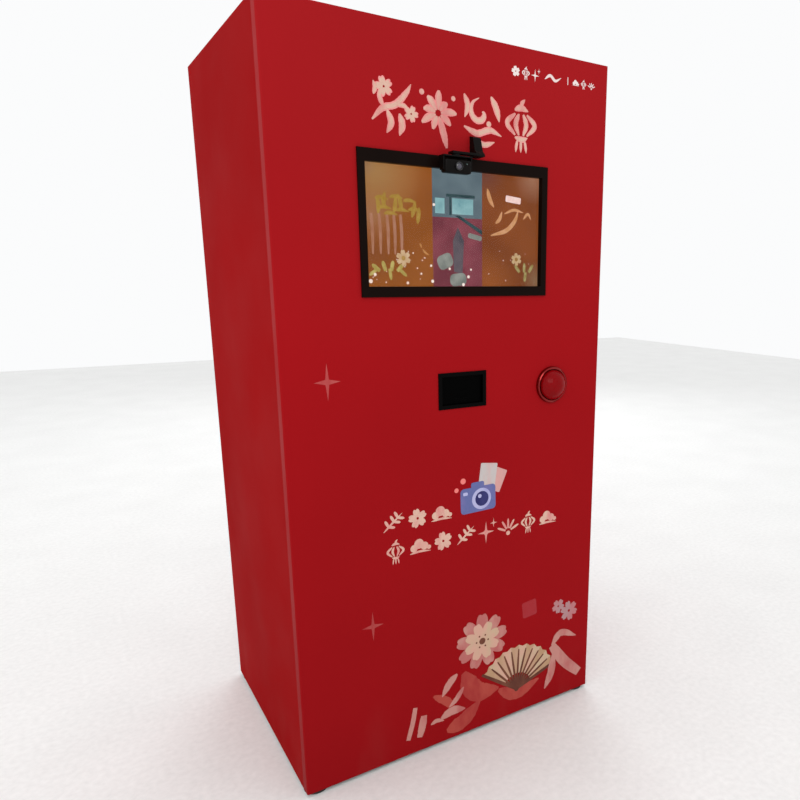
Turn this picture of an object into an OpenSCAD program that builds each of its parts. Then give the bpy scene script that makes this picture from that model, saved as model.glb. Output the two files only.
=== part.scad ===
/* [Cabinet] */
// Width of the cabinet across the side panels
cab_w = 900; // [860:10:960]
// Height from the floor to the top
cab_h = 1820; // [1780:10:1900]
// Depth from the front panel to the rear face
cab_d = 680; // [660:10:760]
// Thickness of the steel sheet
sheet = 2; // [1.5:0.5:2.5]
// Outside radius of the two front edges
edge_r = 5; // [4:1:8]
// Gap between the floor and the panels
skirt_gap = 10; // [8:1:20]
// Depth of the front panel's side returns
return_d = 30; // [26:1:40]

/* [Display] */
// Outside width of the display bezel
bezel_w = 512; // [500:2:540]
// Outside height of the display bezel
bezel_h = 320; // [312:2:340]
// Height of the bezel's centre above the floor
bezel_z = 1393; // [1380:1:1410]
// Visible width of the screen
view_w = 478; // [474:1:480]
// Visible height of the screen
view_h = 269; // [266:1:272]
// How far the screen's centre sits below the bezel's centre
view_drop = 1.5; // [0:0.5:4]

/* [Start button] */
// Sideways place of the button's centre
button_x = 284; // [260:2:320]
// Height of the button's centre
button_z = 992; // [960:2:1020]
// Outside radius of the chromed ring
ring_r = 50; // [46:1:54]
// Height of the dome above the front panel
dome_top = 38; // [34:1:42]
// Travel of the dome
button_travel = 4.5; // [3:0.5:4.5]

/* [Delivery window] */
// Sideways place of the window's centre
win_x = 4; // [-20:2:20]
// Height of the window's centre
win_z = 1000; // [990:2:1010]
// Width of the window's frame
win_w = 138; // [130:2:150]
// Height of the window's frame
win_h = 92; // [88:2:96]

/* [Camera] */
// Sideways place of the camera's pan axis
cam_x = -26; // [-30:1:-20]
// How far the pan axis stands out from the front panel
cam_out = 30; // [30:1:36]
// Height of the camera's tilt axis
cam_z = 1528; // [1526:1:1530]

/* [Rear door] */
// Half width of the door opening
door_half = 405; // [400:1:405]
// Height of the bottom of the door opening
door_z0 = 150; // [140:5:200]
// Height of the top of the door opening
door_z1 = 1740; // [1700:5:1740]

/* [Shelves] */
// Height of the printer shelf
shelf_z = 1070; // [1060:2:1076]
// Height of the computer shelf
low_shelf_z = 560; // [500:10:640]

/* [Printer gears] */
// Tooth module of the gear pair
gear_mod = 1; // [1]
// Teeth on the platen gear
platen_teeth = 32; // [32]
// Teeth on the motor pinion
pinion_teeth = 16; // [16]

/* [Hidden] */
$fn = 64;

// The front-most and rear-most points balance about the origin
camera_front = cam_out + 18;
handle_rear = 24;
front = -cab_d / 2 + (camera_front - handle_rear) / 2;
back = front + cab_d;
mid = (front + back) / 2;
half = cab_w / 2;
inner = half - sheet;
fit = 0.06;

// Gap left at a seam between two sheets
seam = 0.4;

// Structure
tube = 40;
base_z0 = 30;
base_z1 = base_z0 + tube;
base_x = half - 12;
base_y = cab_d / 2 - 14;
foot_x = base_x - tube / 2;
foot_y = base_y - tube / 2;
stud_r = 6;
post = 30;
post_x = inner - 2;
anchor_x = 370;
anchor_y = base_y - tube - 28;
anchor_r = 6.5;
pan_z = base_z1 + sheet;

// Openings in the front panel
screen_z = bezel_z - view_drop;
neck_w = bezel_w - 20;
neck_h = bezel_h - 20;
glass_w = view_w + 8;
glass_h = view_h + 10;
chassis_w = bezel_w - 4;
chassis_h = bezel_h - 4;
win_neck_w = win_w - 10;
win_neck_h = win_h - 10;
win_in_w = win_neck_w - 6;
win_in_h = win_neck_h - 6;
flap_z = win_z + win_in_h / 2 - 4;
flap_y = front + 6.2;

bezel_proud = 5;
glass_y = front + 8;
panel_y = glass_y + 2.5;
chassis_y = front + 14;
chassis_back = front + 40;
board_back = front + 58;
bracket_z = 100;
chute_back = front + 118;
chute_top = shelf_z - 22;

// Start button
barrel_r = 13.5;
stem_r = 8;
dome_r = ring_r - 9.5;

// Rear door
hinge_x = -door_half;
hinge_y = back + 6.5;
hinge_zs = [300, 920, 1540];
hinge_h = 80;
knuckle_r = 6;
door_lip = 16;
fan_z = 1600;
lock_x = 372;
lock_z = 945;

// Printer, measured from the shelf's top face and the front panel
bed = shelf_z + sheet;
roll_y = front + 215;
roll_z = bed + 62;
roll_r = 48;
platen_y = front + 108;
platen_z = bed + 58;
gear_centres = gear_mod * (platen_teeth + pinion_teeth) / 2 + 0.25;
motor_y = platen_y + gear_centres * cos(45);
motor_z = platen_z - gear_centres * sin(45);
lid_y = front + 284;
lid_z = bed + 118;
cheek_x = 70;
chassis_y0 = front + 72;
chassis_y1 = front + 276;
cheek_top = bed + 112;
gear_x = win_x + 73;
gear_t = 6;
shaft_r = 3;

// Computer and power supply
pc_x = [-250, -60];
pc_y = [front + 200, front + 390];
supply_x = [-300, -190];
supply_y = [front + 330, front + 545];

// Inlet
rocker_x = 14.75;
pivot_r = 1.5;
inlet_x = -330;
inlet_z = 106;
rocker_y = back - 4;

// A box between two opposite corners
module block(low, high) {
    translate(low) cube(high - low);
}

// Places its children on the front panel, with their +Z pointing out of the front
module on_front(x, z) {
    translate([x, front, z]) rotate([90, 0, 0]) children();
}

// A cylinder along X between two places
module rod_x(x0, x1, y, z, r) {
    translate([x0, y, z]) rotate([0, 90, 0]) cylinder(r = r, h = x1 - x0);
}

// A cylinder along Y between two places
module rod_y(x, y0, y1, z, r) {
    translate([x, y0, z]) rotate([-90, 0, 0]) cylinder(r = r, h = y1 - y0);
}

// A rectangular frame in the plane of the front, by its outer and inner sizes
module face_frame(x, z, y0, y1, ow, oh, iw, ih, iz) {
    difference() {
        block([x - ow / 2, y0, z - oh / 2], [x + ow / 2, y1, z + oh / 2]);
        block([x - iw / 2, y0 - 1, iz - ih / 2], [x + iw / 2, y1 + 1, iz + ih / 2]);
    }
}

function unit(v) = v / norm(v);

// Points of a rounded corner at b, between straight runs from a and to c
function bend(a, b, c, r) = [
    for (t = [0 : 0.25 : 1])
        (b - unit(b - a) * r) * (1 - t) * (1 - t) + b * 2 * t * (1 - t) + (b + unit(c - b) * r) * t * t
];

// A route of straight runs with its corners rounded
function rounded_route(route, r) = [
    route[0],
    for (i = [1 : len(route) - 2]) each bend(route[i - 1], route[i], route[i + 1], r),
    route[len(route) - 1]
];

// A lead of radius r that follows a route, bent no tighter than four diameters
module lead(route, r) {
    sides = 8;
    points = rounded_route(route, 8 * r);
    last = len(points) - 1;
    rings = [
        for (i = [0 : last], k = [0 : sides - 1])
            let (t = unit(points[min(i + 1, last)] - points[max(i - 1, 0)]),
                 n = unit(cross(t, [1, 2, -3])), b = cross(t, n), a = k * 360 / sides)
                points[i] + n * r * cos(a) + b * r * sin(a)
    ];
    walls = [
        for (i = [0 : last - 1], k = [0 : sides - 1])
            let (a = i * sides + k, b = i * sides + (k + 1) % sides)
                [a, a + sides, b + sides, b]
    ];
    start_cap = [for (k = [0 : sides - 1]) k];
    end_cap = [for (k = [sides - 1 : -1 : 0]) last * sides + k];
    polyhedron(rings, concat(walls, [start_cap, end_cap]));
}

// Straight-sided gear teeth around a root circle, with one tooth along +X
module gear_outline(teeth, phase) {
    pitch = gear_mod * teeth / 2;
    root = pitch - 1.25 * gear_mod;
    tip = pitch + 0.9 * gear_mod;
    step = 360 / teeth;
    polygon([
        for (i = [0 : teeth - 1], p = [[-0.32, root], [-0.12, tip], [0.12, tip], [0.32, root]])
            [p[1] * cos(phase + (i + p[0]) * step), p[1] * sin(phase + (i + p[0]) * step)]
    ]);
}

module base_frame() {
    color("#2b2b2d") difference() {
        union() {
            difference() {
                block([-base_x, mid - base_y, base_z0], [base_x, mid + base_y, base_z1]);
                block([-base_x + tube, mid - base_y + tube, base_z0 - 1],
                      [base_x - tube, mid + base_y - tube, base_z1 + 1]);
                difference() {
                    block([-base_x + 3, mid - base_y + 3, base_z0 - 1],
                          [base_x - 3, mid + base_y - 3, base_z1 - 3]);
                    block([-base_x + tube - 3, mid - base_y + tube - 3, base_z0 - 2],
                          [base_x - tube + 3, mid + base_y - tube + 3, base_z1]);
                }
            }
            for (x = [-1, 1], y = [-1, 1]) {
                block([x * foot_x - 18, mid + y * foot_y - 18, base_z0],
                      [x * foot_x + 18, mid + y * foot_y + 18, base_z0 + 6]);
                block([x * anchor_x - 29, mid + y * anchor_y - 29, base_z0],
                      [x * anchor_x + 29, mid + y * anchor_y + 29, base_z0 + 4]);
            }
        }
        for (x = [-1, 1], y = [-1, 1]) {
            translate([x * foot_x, mid + y * foot_y, base_z0 - 1]) cylinder(r = stud_r + 0.15, h = 9);
            translate([x * anchor_x, mid + y * anchor_y, base_z0 - 1]) cylinder(r = anchor_r, h = 9);
        }
    }
}

module levelling_feet() {
    color("#3a3a3c") for (x = [-1, 1], y = [-1, 1]) translate([x * foot_x, mid + y * foot_y, 0]) {
        rotate_extrude() polygon([[0, 0], [30, 0], [30, 5], [26, 9], [10, 13], [stud_r, 13],
                                  [stud_r, 58], [0, 58]]);
    }
}

module foot_lock_nuts() {
    color("silver") for (x = [-1, 1], y = [-1, 1]) {
        translate([x * foot_x, mid + y * foot_y, base_z0 - 10]) difference() {
            cylinder(r = 11, h = 9.9, $fn = 6);
            translate([0, 0, -1]) cylinder(r = stud_r + 0.1, h = 12);
        }
    }
}

module uprights() {
    color("#2b2b2d") for (x = [-1, 1], y = [front + 4, back - 4 - post]) {
        x0 = x > 0 ? post_x - post : -post_x;
        difference() {
            block([x0, y, base_z1], [x0 + post, y + post, cab_h - 6]);
            block([x0 + 2, y + 2, base_z1 - 1], [x0 + post - 2, y + post - 2, cab_h - 5]);
        }
    }
}

module top_rails() {
    rail_z = cab_h - 6 - post;
    end_x = post_x - post - 1;
    y0 = front + 5 + post;
    y1 = back - 5 - post;
    color("#2b2b2d") {
        for (y = [front + 4, back - 4 - post]) difference() {
            block([-end_x, y, rail_z], [end_x, y + post, cab_h - 6]);
            block([-end_x - 1, y + 2, rail_z + 2], [end_x + 1, y + post - 2, cab_h - 8]);
        }
        for (x = [-post_x, post_x - post]) difference() {
            block([x, y0, rail_z], [x + post, y1, cab_h - 6]);
            block([x + 2, y0 - 1, rail_z + 2], [x + post - 2, y1 + 1, cab_h - 8]);
        }
    }
}

module floor_pan() {
    color("#8d9092") difference() {
        block([-base_x, mid - base_y, base_z1], [base_x, mid + base_y, pan_z]);
        for (x = [-1, 1], y = [-1, 1])
            translate([x * (post_x - post / 2), mid + y * (cab_d / 2 - 4 - post / 2), pan_z])
                cube([post + 1, post + 1, 20], center = true);
    }
}

module front_panel() {
    color("#a3202a") {
        difference() {
            block([-half + edge_r, front, skirt_gap], [half - edge_r, front + sheet, cab_h]);
            block([-neck_w / 2 - 1, front - 1, bezel_z - neck_h / 2 - 1],
                  [neck_w / 2 + 1, front + 5, bezel_z + neck_h / 2 + 1]);
            block([win_x - win_neck_w / 2 - 0.5, front - 1, win_z - win_neck_h / 2 - 0.5],
                  [win_x + win_neck_w / 2 + 0.5, front + 5, win_z + win_neck_h / 2 + 0.5]);
            rod_y(button_x, front - 1, front + 5, button_z, barrel_r + 0.3);
        }
        for (s = [-1, 1]) {
            x0 = s > 0 ? half - sheet : -half;
            block([x0, front + edge_r, skirt_gap], [x0 + sheet, front + return_d, cab_h]);
        }
        translate([-half + edge_r, front + edge_r, skirt_gap]) rotate([0, 0, 180]) edge_bend();
        translate([half - edge_r, front + edge_r, skirt_gap]) rotate([0, 0, 270]) edge_bend();
    }
}

// The quarter-round bend between the front and a return
module edge_bend() {
    rotate_extrude(angle = 90) translate([edge_r - sheet, 0]) square([sheet, cab_h - skirt_gap]);
}

module side_sheet(s) {
    x0 = s > 0 ? inner : -half;
    block([x0, front + return_d + 2 * seam, skirt_gap], [x0 + sheet, back, cab_h]);
}

module left_side_panel() {
    color("#9b1618") side_sheet(-1);
}

module right_side_panel() {
    color("#9b1618") side_sheet(1);
}

module top_panel() {
    hem = 24;
    hem_t = 1.4;
    relief = 2;
    x1 = inner - seam;
    y0 = front + sheet + seam;
    y1 = back - sheet - seam;
    color("#9b1618") difference() {
        block([-x1, y0, cab_h - sheet - hem], [x1, y1, cab_h]);
        block([-x1 + hem_t, y0 + hem_t, 0], [x1 - hem_t, y1 - hem_t, cab_h - sheet]);
        for (s = [-1, 1]) {
            x0 = s > 0 ? x1 - relief : -x1 - 1;
            block([x0, y0 - 1, 0], [x0 + relief + 1, y0 + relief, cab_h + 1]);
        }
    }
}

module rear_surround() {
    lip = 1.5;
    x1 = inner - seam;
    color("#9b1618") difference() {
        union() {
            block([-x1, back - sheet, skirt_gap], [x1, back, cab_h - seam]);
            block([-door_half - lip, back - 22, door_z0 - lip], [door_half + lip, back - 1, door_z1 + lip]);
        }
        block([-door_half, back - 30, door_z0], [door_half, back + 1, door_z1]);
        block([inlet_x - 24, back - 5, inlet_z - 14], [inlet_x + 24, back + 1, inlet_z + 14]);
        rod_y(-250, back - 5, back + 1, inlet_z, 12.5);
    }
}

module shelf_rails() {
    color("#2b2b2d") for (s = [-1, 1], z = [low_shelf_z, shelf_z]) {
        x1 = post_x - post;
        x0 = s > 0 ? x1 - 3 : -x1;
        block([x0, front + 4, z - 25], [x0 + 3, back - 26, z]);
        w0 = s > 0 ? x1 - 25 : -x1 + 3;
        block([w0, front + 4, z - 3], [w0 + 22, back - 26, z]);
    }
}

module shelf_sheet(z) {
    x1 = post_x - post - 0.5;
    block([-x1, front + 36, z], [x1, back - 70, z + sheet]);
    for (y = [front + 36, back - 70 - sheet])
        block([-x1 + 26, y, z - 18], [x1 - 26, y + sheet, z]);
}

module printer_shelf() {
    color("#8d9092") difference() {
        shelf_sheet(shelf_z);
        block([win_x - 72, front + 30, shelf_z - 30], [win_x + 72, front + 68, shelf_z + 5]);
    }
}

module computer_shelf() {
    color("#8d9092") shelf_sheet(low_shelf_z);
}

module display_bezel() {
    color("#151517") difference() {
        union() {
            block([-bezel_w / 2, front - bezel_proud, bezel_z - bezel_h / 2],
                  [bezel_w / 2, front, bezel_z + bezel_h / 2]);
            block([-neck_w / 2, front - 1, bezel_z - neck_h / 2],
                  [neck_w / 2, chassis_y, bezel_z + neck_h / 2]);
        }
        block([-view_w / 2, front - 9, screen_z - view_h / 2],
              [view_w / 2, front + 20, screen_z + view_h / 2]);
        block([-glass_w / 2, glass_y, screen_z - glass_h / 2],
              [glass_w / 2, front + 20, screen_z + glass_h / 2]);
    }
}

module display_glass() {
    color("#9fb4bd", 0.4) block([-glass_w / 2 + 0.5, glass_y, screen_z - glass_h / 2 + 0.5],
                                [glass_w / 2 - 0.5, panel_y, screen_z + glass_h / 2 - 0.5]);
}

module display_panel() {
    color("#b9bbbd") {
        block([-glass_w / 2 + 0.5, panel_y, screen_z - glass_h / 2 + 0.5],
              [glass_w / 2 - 0.5, chassis_y, screen_z + glass_h / 2 - 0.5]);
        block([-chassis_w / 2, chassis_y, bezel_z - chassis_h / 2],
              [chassis_w / 2, chassis_back, bezel_z + chassis_h / 2]);
        block([-120, chassis_back, bezel_z - 90], [120, board_back, bezel_z + 60]);
    }
}

// Where the display's brackets are screwed to the front panel
bracket_hole_x = chassis_w / 2 + 20;

module display_brackets() {
    color("silver") for (s = [-1, 1], z = [-bracket_z, bracket_z]) {
        x0 = s > 0 ? chassis_w / 2 : -chassis_w / 2 - 2;
        f0 = s > 0 ? chassis_w / 2 : -chassis_w / 2 - 36;
        difference() {
            union() {
                block([x0, front + sheet, bezel_z + z - 15], [x0 + 2, chassis_back, bezel_z + z + 15]);
                block([f0, front + sheet, bezel_z + z - 15], [f0 + 36, front + sheet + 2, bezel_z + z + 15]);
            }
            rod_y(s * bracket_hole_x, front, front + 9, bezel_z + z, 2.7);
        }
    }
}

module bracket_nuts() {
    color("silver") for (s = [-1, 1], z = [-bracket_z, bracket_z]) {
        rod_y(s * bracket_hole_x, front + sheet, front + 14, bezel_z + z, 2.5);
        translate([s * bracket_hole_x, front + sheet + 2, bezel_z + z]) rotate([-90, 0, 0])
            cylinder(r = 4.6, h = 4, $fn = 6);
    }
}

module button_ring() {
    in_r = ring_r - 8.8;
    color("#d8dadc") on_front(button_x, button_z) rotate_extrude($fn = 96)
        polygon([[in_r, 0], [ring_r, 0], [ring_r, 5], [ring_r - 1.5, 8.5], [ring_r - 4, 10.5],
                 [ring_r - 6.5, 10], [in_r, 7.5]]);
}

module button_barrel() {
    color("#1c1c1e") on_front(button_x, button_z) difference() {
        union() {
            cylinder(r = ring_r - 9, h = 1);
            translate([0, 0, -40]) cylinder(r = barrel_r, h = 41);
        }
        translate([0, 0, -50]) cylinder(r = stem_r + fit, h = 60);
        translate([0, 0, -20]) cylinder(r = 11.2, h = 30);
    }
}

module button_nut() {
    color("#1c1c1e") on_front(button_x, button_z) translate([0, 0, -sheet - 9]) difference() {
        cylinder(r = 19, h = 9, $fn = 6);
        translate([0, 0, -1]) cylinder(r = barrel_r + 0.1, h = 12);
    }
}

module button_switch() {
    color("#8c1a1e") on_front(button_x, button_z) {
        difference() {
            translate([-11, -15, -72]) cube([22, 30, 32]);
            translate([0, 0, -56]) cylinder(r = stem_r + 1, h = 20);
        }
        translate([-7, -2, -82]) cube([3, 4, 10]);
        translate([4, -2, -82]) cube([3, 4, 10]);
    }
}

// Points of a round wire wound into the return spring
spring_turns = 5;
spring_steps = 16;
spring_sides = 8;
spring_r = 9.7;
spring_wire = 0.7;
spring_z0 = -19.2;
spring_z1 = 5.2;

module button_spring() {
    rings = spring_turns * spring_steps;
    points = [
        for (i = [0 : rings], k = [0 : spring_sides - 1])
            let (a = i * 360 / spring_steps, b = k * 360 / spring_sides, r = spring_r + spring_wire * cos(b))
                [r * cos(a), r * sin(a),
                 spring_z0 + (spring_z1 - spring_z0) * i / rings + spring_wire * sin(b)]
    ];
    sides = [
        for (i = [0 : rings - 1], k = [0 : spring_sides - 1])
            let (a = i * spring_sides + k, b = i * spring_sides + (k + 1) % spring_sides)
                [a, a + spring_sides, b + spring_sides, b]
    ];
    first = [for (k = [0 : spring_sides - 1]) k];
    last = [for (k = [spring_sides - 1 : -1 : 0]) rings * spring_sides + k];
    color("silver") on_front(button_x, button_z) polyhedron(points, concat(sides, [first, last]));
}

module start_dome() {
    rim = 14;
    rise = dome_top - rim;
    cap_r = (dome_r * dome_r + rise * rise) / (2 * rise);
    color("#b3141d") on_front(button_x, button_z) {
        intersection() {
            translate([0, 0, 6]) cylinder(r = dome_r, h = dome_top, $fn = 96);
            translate([0, 0, dome_top - cap_r]) sphere(r = cap_r, $fn = 96);
        }
        translate([0, 0, -44]) cylinder(r = stem_r, h = 51);
    }
}

module delivery_frame() {
    lip_w = win_in_w - 4;
    lip_h = win_in_h - 4;
    color("#111113") difference() {
        union() {
            face_frame(win_x, win_z, front - 2.5, front, win_w, win_h, lip_w, lip_h, win_z);
            face_frame(win_x, win_z, front - 1, front + 2, win_neck_w, win_neck_h, lip_w, lip_h, win_z);
            face_frame(win_x, win_z, front + 2, front + 12, win_neck_w, win_neck_h,
                       win_in_w, win_in_h, win_z);
        }
        rod_x(win_x - win_w / 2, win_x + win_w / 2, flap_y, flap_z, 2 + fit);
    }
}

module delivery_chute() {
    x1 = win_neck_w / 2 + 2;
    z0 = win_z - 50;
    y1 = chute_back;
    color("#222224") {
        for (s = [-1, 1]) {
            x0 = s > 0 ? win_x + x1 : win_x - x1 - 1.5;
            f0 = s > 0 ? win_x + x1 : win_x - x1 - 18;
            block([x0, front + sheet, z0], [x0 + 1.5, y1, chute_top]);
            block([f0, front + sheet, z0], [f0 + 18, front + sheet + 1.5, chute_top]);
        }
        block([win_x - x1, y1 - 1.5, z0], [win_x + x1, y1, chute_top]);
        block([win_x - x1, front + 14, z0], [win_x + x1, y1, z0 + 1.5]);
    }
}

module flap_pin() {
    x1 = win_neck_w / 2;
    color("silver") rod_x(win_x - x1, win_x + x1, flap_y, flap_z, 2);
}

module delivery_flap() {
    x1 = win_in_w / 2 - 1;
    color("#1a1a1c") difference() {
        union() {
            block([win_x - x1, flap_y - 1.5, win_z - win_in_h / 2 + 1], [win_x + x1, flap_y + 1.5, flap_z]);
            rod_x(win_x - x1, win_x + x1, flap_y, flap_z, 3.6);
        }
        rod_x(win_x - x1 - 1, win_x + x1 + 1, flap_y, flap_z, 2 + fit);
    }
}

// Camera on its bracket: arm, yoke and body below it
arm_z = cam_z + 28;
yoke_half = 38;
pan_y = front - cam_out;

module camera_bracket() {
    fin_x0 = 28;
    fin_x1 = 50;
    color("#141416") difference() {
        union() {
            translate([fin_x0, front, 0]) rotate([90, 0, 90]) linear_extrude(fin_x1 - fin_x0)
                polygon([[0, arm_z], [-34, arm_z], [-34, arm_z + 5], [-24, arm_z + 14],
                         [-15, arm_z + 44], [0, arm_z + 48]]);
            block([cam_x - 14, pan_y - 12, arm_z], [fin_x0 + 1, pan_y + 12, arm_z + 5]);
        }
        translate([cam_x, pan_y, arm_z - 1]) cylinder(r = 3 + fit, h = 8);
    }
}

module camera_yoke() {
    top = arm_z - 4.5;
    color("#1b1b1d") difference() {
        union() {
            block([cam_x - yoke_half, pan_y - 12, top - 3], [cam_x + yoke_half, pan_y + 12, top]);
            for (s = [-1, 1]) {
                x0 = s > 0 ? cam_x + yoke_half - 3 : cam_x - yoke_half;
                block([x0, pan_y - 9, cam_z - 9], [x0 + 3, pan_y + 9, top - 2]);
            }
            translate([cam_x, pan_y, top - 1]) cylinder(r = 10, h = 5.2);
            translate([cam_x, pan_y, top - 1]) cylinder(r = 3, h = 10.4);
        }
        rod_x(cam_x - 60, cam_x + 60, pan_y, cam_z, 2.5 + fit);
    }
}

module camera_body() {
    x1 = yoke_half - 3.6;
    color("#202022") {
        block([cam_x - x1, pan_y - 13, cam_z - 15], [cam_x + x1, pan_y + 12, cam_z + 15]);
        rod_x(cam_x - yoke_half + 0.2, cam_x + yoke_half - 0.2, pan_y, cam_z, 2.5);
    }
}

module camera_lens() {
    color("#0a0a0c") rod_y(cam_x, pan_y - 18, pan_y - 13, cam_z, 9.5);
}

module printer_chassis() {
    y0 = chassis_y0;
    y1 = chassis_y1;
    color("#c6c8ca") difference() {
        union() {
            block([win_x - cheek_x, y0, bed], [win_x + cheek_x, y1, bed + 3]);
            for (s = [-1, 1]) {
                x0 = s > 0 ? win_x + cheek_x - 3 : win_x - cheek_x;
                block([x0, y0, bed], [x0 + 3, y1, cheek_top]);
                block([x0, y1 - 6, bed + 60], [x0 + 3, lid_y + 5, lid_z + 5]);
            }
        }
        rod_x(win_x - 80, win_x + 80, roll_y, roll_z, 6 + fit);
        rod_x(win_x - 80, win_x + 80, platen_y, platen_z, shaft_r + fit);
        rod_x(win_x + 60, win_x + 80, motor_y, motor_z, 5.5);
        rod_x(win_x - 80, win_x + 80, lid_y, lid_z, 2 + fit);
    }
}

module print_head() {
    color("#d9dbdd") {
        block([win_x - 42, platen_y + 8.3, platen_z - 8], [win_x + 42, platen_y + 13, platen_z + 12]);
        for (i = [0 : 6])
            block([win_x - 40 + i * 13, platen_y + 12.9, platen_z - 6],
                  [win_x - 37 + i * 13, platen_y + 20, platen_z + 10]);
        for (s = [-1, 1]) {
            x0 = s > 0 ? 42 : -66.9;
            block([win_x + x0, platen_y + 8.3, platen_z + 6],
                  [win_x + x0 + 24.9, platen_y + 11, platen_z + 12]);
        }
    }
}

module cutter_housing() {
    y0 = front + 74;
    color("#3a3d40") difference() {
        block([win_x - 60, y0, bed + 40], [win_x + 60, y0 + 22, bed + 76]);
        block([win_x - 42, y0 - 1, bed + 57], [win_x + 42, y0 + 30, bed + 60]);
        block([win_x - 44, y0 + 9.5, bed + 42], [win_x + 44, y0 + 12.5, bed + 80]);
    }
}

module cutter_blade() {
    y0 = front + 84.1;
    color("silver") block([win_x - 43.5, y0, bed + 43], [win_x + 43.5, y0 + 1.8, bed + 55]);
}

module printer_motor() {
    color("#8f9295") rod_x(win_x + 44, win_x + 66.9, motor_y, motor_z, 17);
}

module motor_pinion() {
    color("#e9e6da") {
        translate([gear_x, motor_y, motor_z]) rotate([90, 0, 90]) linear_extrude(gear_t)
            gear_outline(pinion_teeth, 135 + 180 / pinion_teeth);
        rod_x(win_x + 67.2, gear_x + 0.1, motor_y, motor_z, 2.5);
    }
}

module platen_roller() {
    color("#2d2d30") rod_x(win_x - 40, win_x + 40, platen_y, platen_z, 8);
    color("silver") rod_x(win_x - 73, win_x + 82, platen_y, platen_z, shaft_r);
}

module platen_gear() {
    color("#e9e6da") difference() {
        translate([gear_x, platen_y, platen_z]) rotate([90, 0, 90]) linear_extrude(gear_t)
            gear_outline(platen_teeth, -45);
        rod_x(win_x + 70, win_x + 90, platen_y, platen_z, shaft_r + 0.05);
    }
}

module paper_roll() {
    color("#f2f0ea") difference() {
        rod_x(win_x - 40, win_x + 40, roll_y, roll_z, roll_r);
        rod_x(win_x - 41, win_x + 41, roll_y, roll_z, 12.5);
    }
}

module roll_spindle() {
    color("#3d4145") {
        rod_x(win_x - 72, win_x + 72, roll_y, roll_z, 6);
        for (x = [-40, 28]) rod_x(win_x + x, win_x + x + 12, roll_y, roll_z, 12.4);
        for (x = [-43, 40]) rod_x(win_x + x, win_x + x + 3, roll_y, roll_z, 18);
    }
}

module printer_lid() {
    y0 = front + 71;
    z0 = bed + 113;
    color("#34373a") difference() {
        union() {
            block([win_x - 66, y0, z0], [win_x + 66, lid_y - 6, z0 + 12]);
            block([win_x - 50, lid_y - 10, z0 + 7], [win_x + 50, lid_y, z0 + 9]);
            rod_x(win_x - 50, win_x + 50, lid_y, lid_z, 4);
        }
        block([win_x - 64, y0 + 2, z0 - 1], [win_x + 64, lid_y - 12, z0 + 10]);
        block([win_x - 30, y0 + 20, z0 + 5], [win_x + 30, y0 + 100, z0 + 20]);
        rod_x(win_x - 80, win_x + 80, lid_y, lid_z, 2 + fit);
    }
}

module lid_pin() {
    color("silver") rod_x(win_x - cheek_x, win_x + cheek_x, lid_y, lid_z, 2);
}

module computer() {
    z0 = low_shelf_z + sheet;
    color("#2a2c30") {
        block([pc_x[0], pc_y[0], z0 + 4], [pc_x[1], pc_y[1], z0 + 50]);
        for (x = [pc_x[0] + 15, pc_x[1] - 25], y = [pc_y[0] + 15, pc_y[1] - 25])
            translate([x, y, z0]) cylinder(r = 7, h = 4.1);
        for (i = [0 : 11])
            block([pc_x[0] + 10 + i * 15, pc_y[0] + 10, z0 + 49.9],
                  [pc_x[0] + 18 + i * 15, pc_y[1] - 10, z0 + 56]);
    }
}

module power_supply() {
    z0 = pan_z;
    color("#b4b7b9") difference() {
        block([supply_x[0], supply_y[0], z0], [supply_x[1], supply_y[1], z0 + 50]);
        for (i = [0 : 9])
            block([supply_x[0] + 10 + i * 10, supply_y[0] + 30, z0 + 46],
                  [supply_x[0] + 15 + i * 10, supply_y[1] - 85, z0 + 60]);
    }
}

module mains_inlet() {
    color("#161618") difference() {
        union() {
            block([inlet_x - 30, back, inlet_z - 18], [inlet_x + 30, back + 2.5, inlet_z + 18]);
            block([inlet_x - 23.5, back - 24, inlet_z - 13.5], [inlet_x + 23.5, back + 1, inlet_z + 13.5]);
        }
        block([inlet_x - 21, back - 14, inlet_z - 8], [inlet_x + 5, back + 5, inlet_z + 8]);
        block([inlet_x + 8, back - 14, inlet_z - 11.5], [inlet_x + 21.5, back + 5, inlet_z + 11.5]);
        rod_x(inlet_x + rocker_x - 7.8, inlet_x + rocker_x + 7.8, rocker_y, inlet_z, pivot_r + fit);
    }
    color("silver") for (i = [-1, 0, 1])
        block([inlet_x - 9 + i * 7, back - 15, inlet_z - 2 + (i == 0 ? 3 : 0)],
              [inlet_x - 7 + i * 7, back - 3, inlet_z + 2 + (i == 0 ? 3 : 0)]);
}

module power_rocker() {
    color("#0d0d0f") translate([inlet_x + rocker_x, rocker_y, inlet_z]) rotate([8, 0, 0]) {
        translate([-6, 0, 0]) rotate([90, 0, 90]) linear_extrude(12)
            polygon([[-5, -9], [3.4, -9.6], [2.2, 0], [3.4, 9.6], [-5, 9]]);
        rod_x(-7.6, 7.6, 0, 0, pivot_r);
    }
}

module internal_leads() {
    z1 = low_shelf_z + sheet + 30;
    rear_y = front + 630;
    color("#1a1a1c") {
        lead([[-100, front + 390.5, z1], [-100, rear_y, z1], [-380, rear_y, z1], [-380, rear_y, 1440],
              [-380, front + 90, 1440], [-100, front + 90, 1440], [-100, front + 58.2, 1440]], 3);
        lead([[-140, front + 390.5, z1], [-140, rear_y - 16, z1], [-364, rear_y - 16, z1],
              [-364, rear_y - 16, bed + 30], [-364, front + 520, bed + 30],
              [-364, front + 440, bed + 4], [-364, front + 240, bed + 4],
              [win_x - cheek_x - 0.3, front + 240, bed + 4]], 2.5);
        lead([[inlet_x, back - 24.2, inlet_z], [inlet_x, back - 60, inlet_z],
              [-245, back - 60, inlet_z], [-245, front + 545.2, inlet_z]], 4);
    }
}

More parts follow.
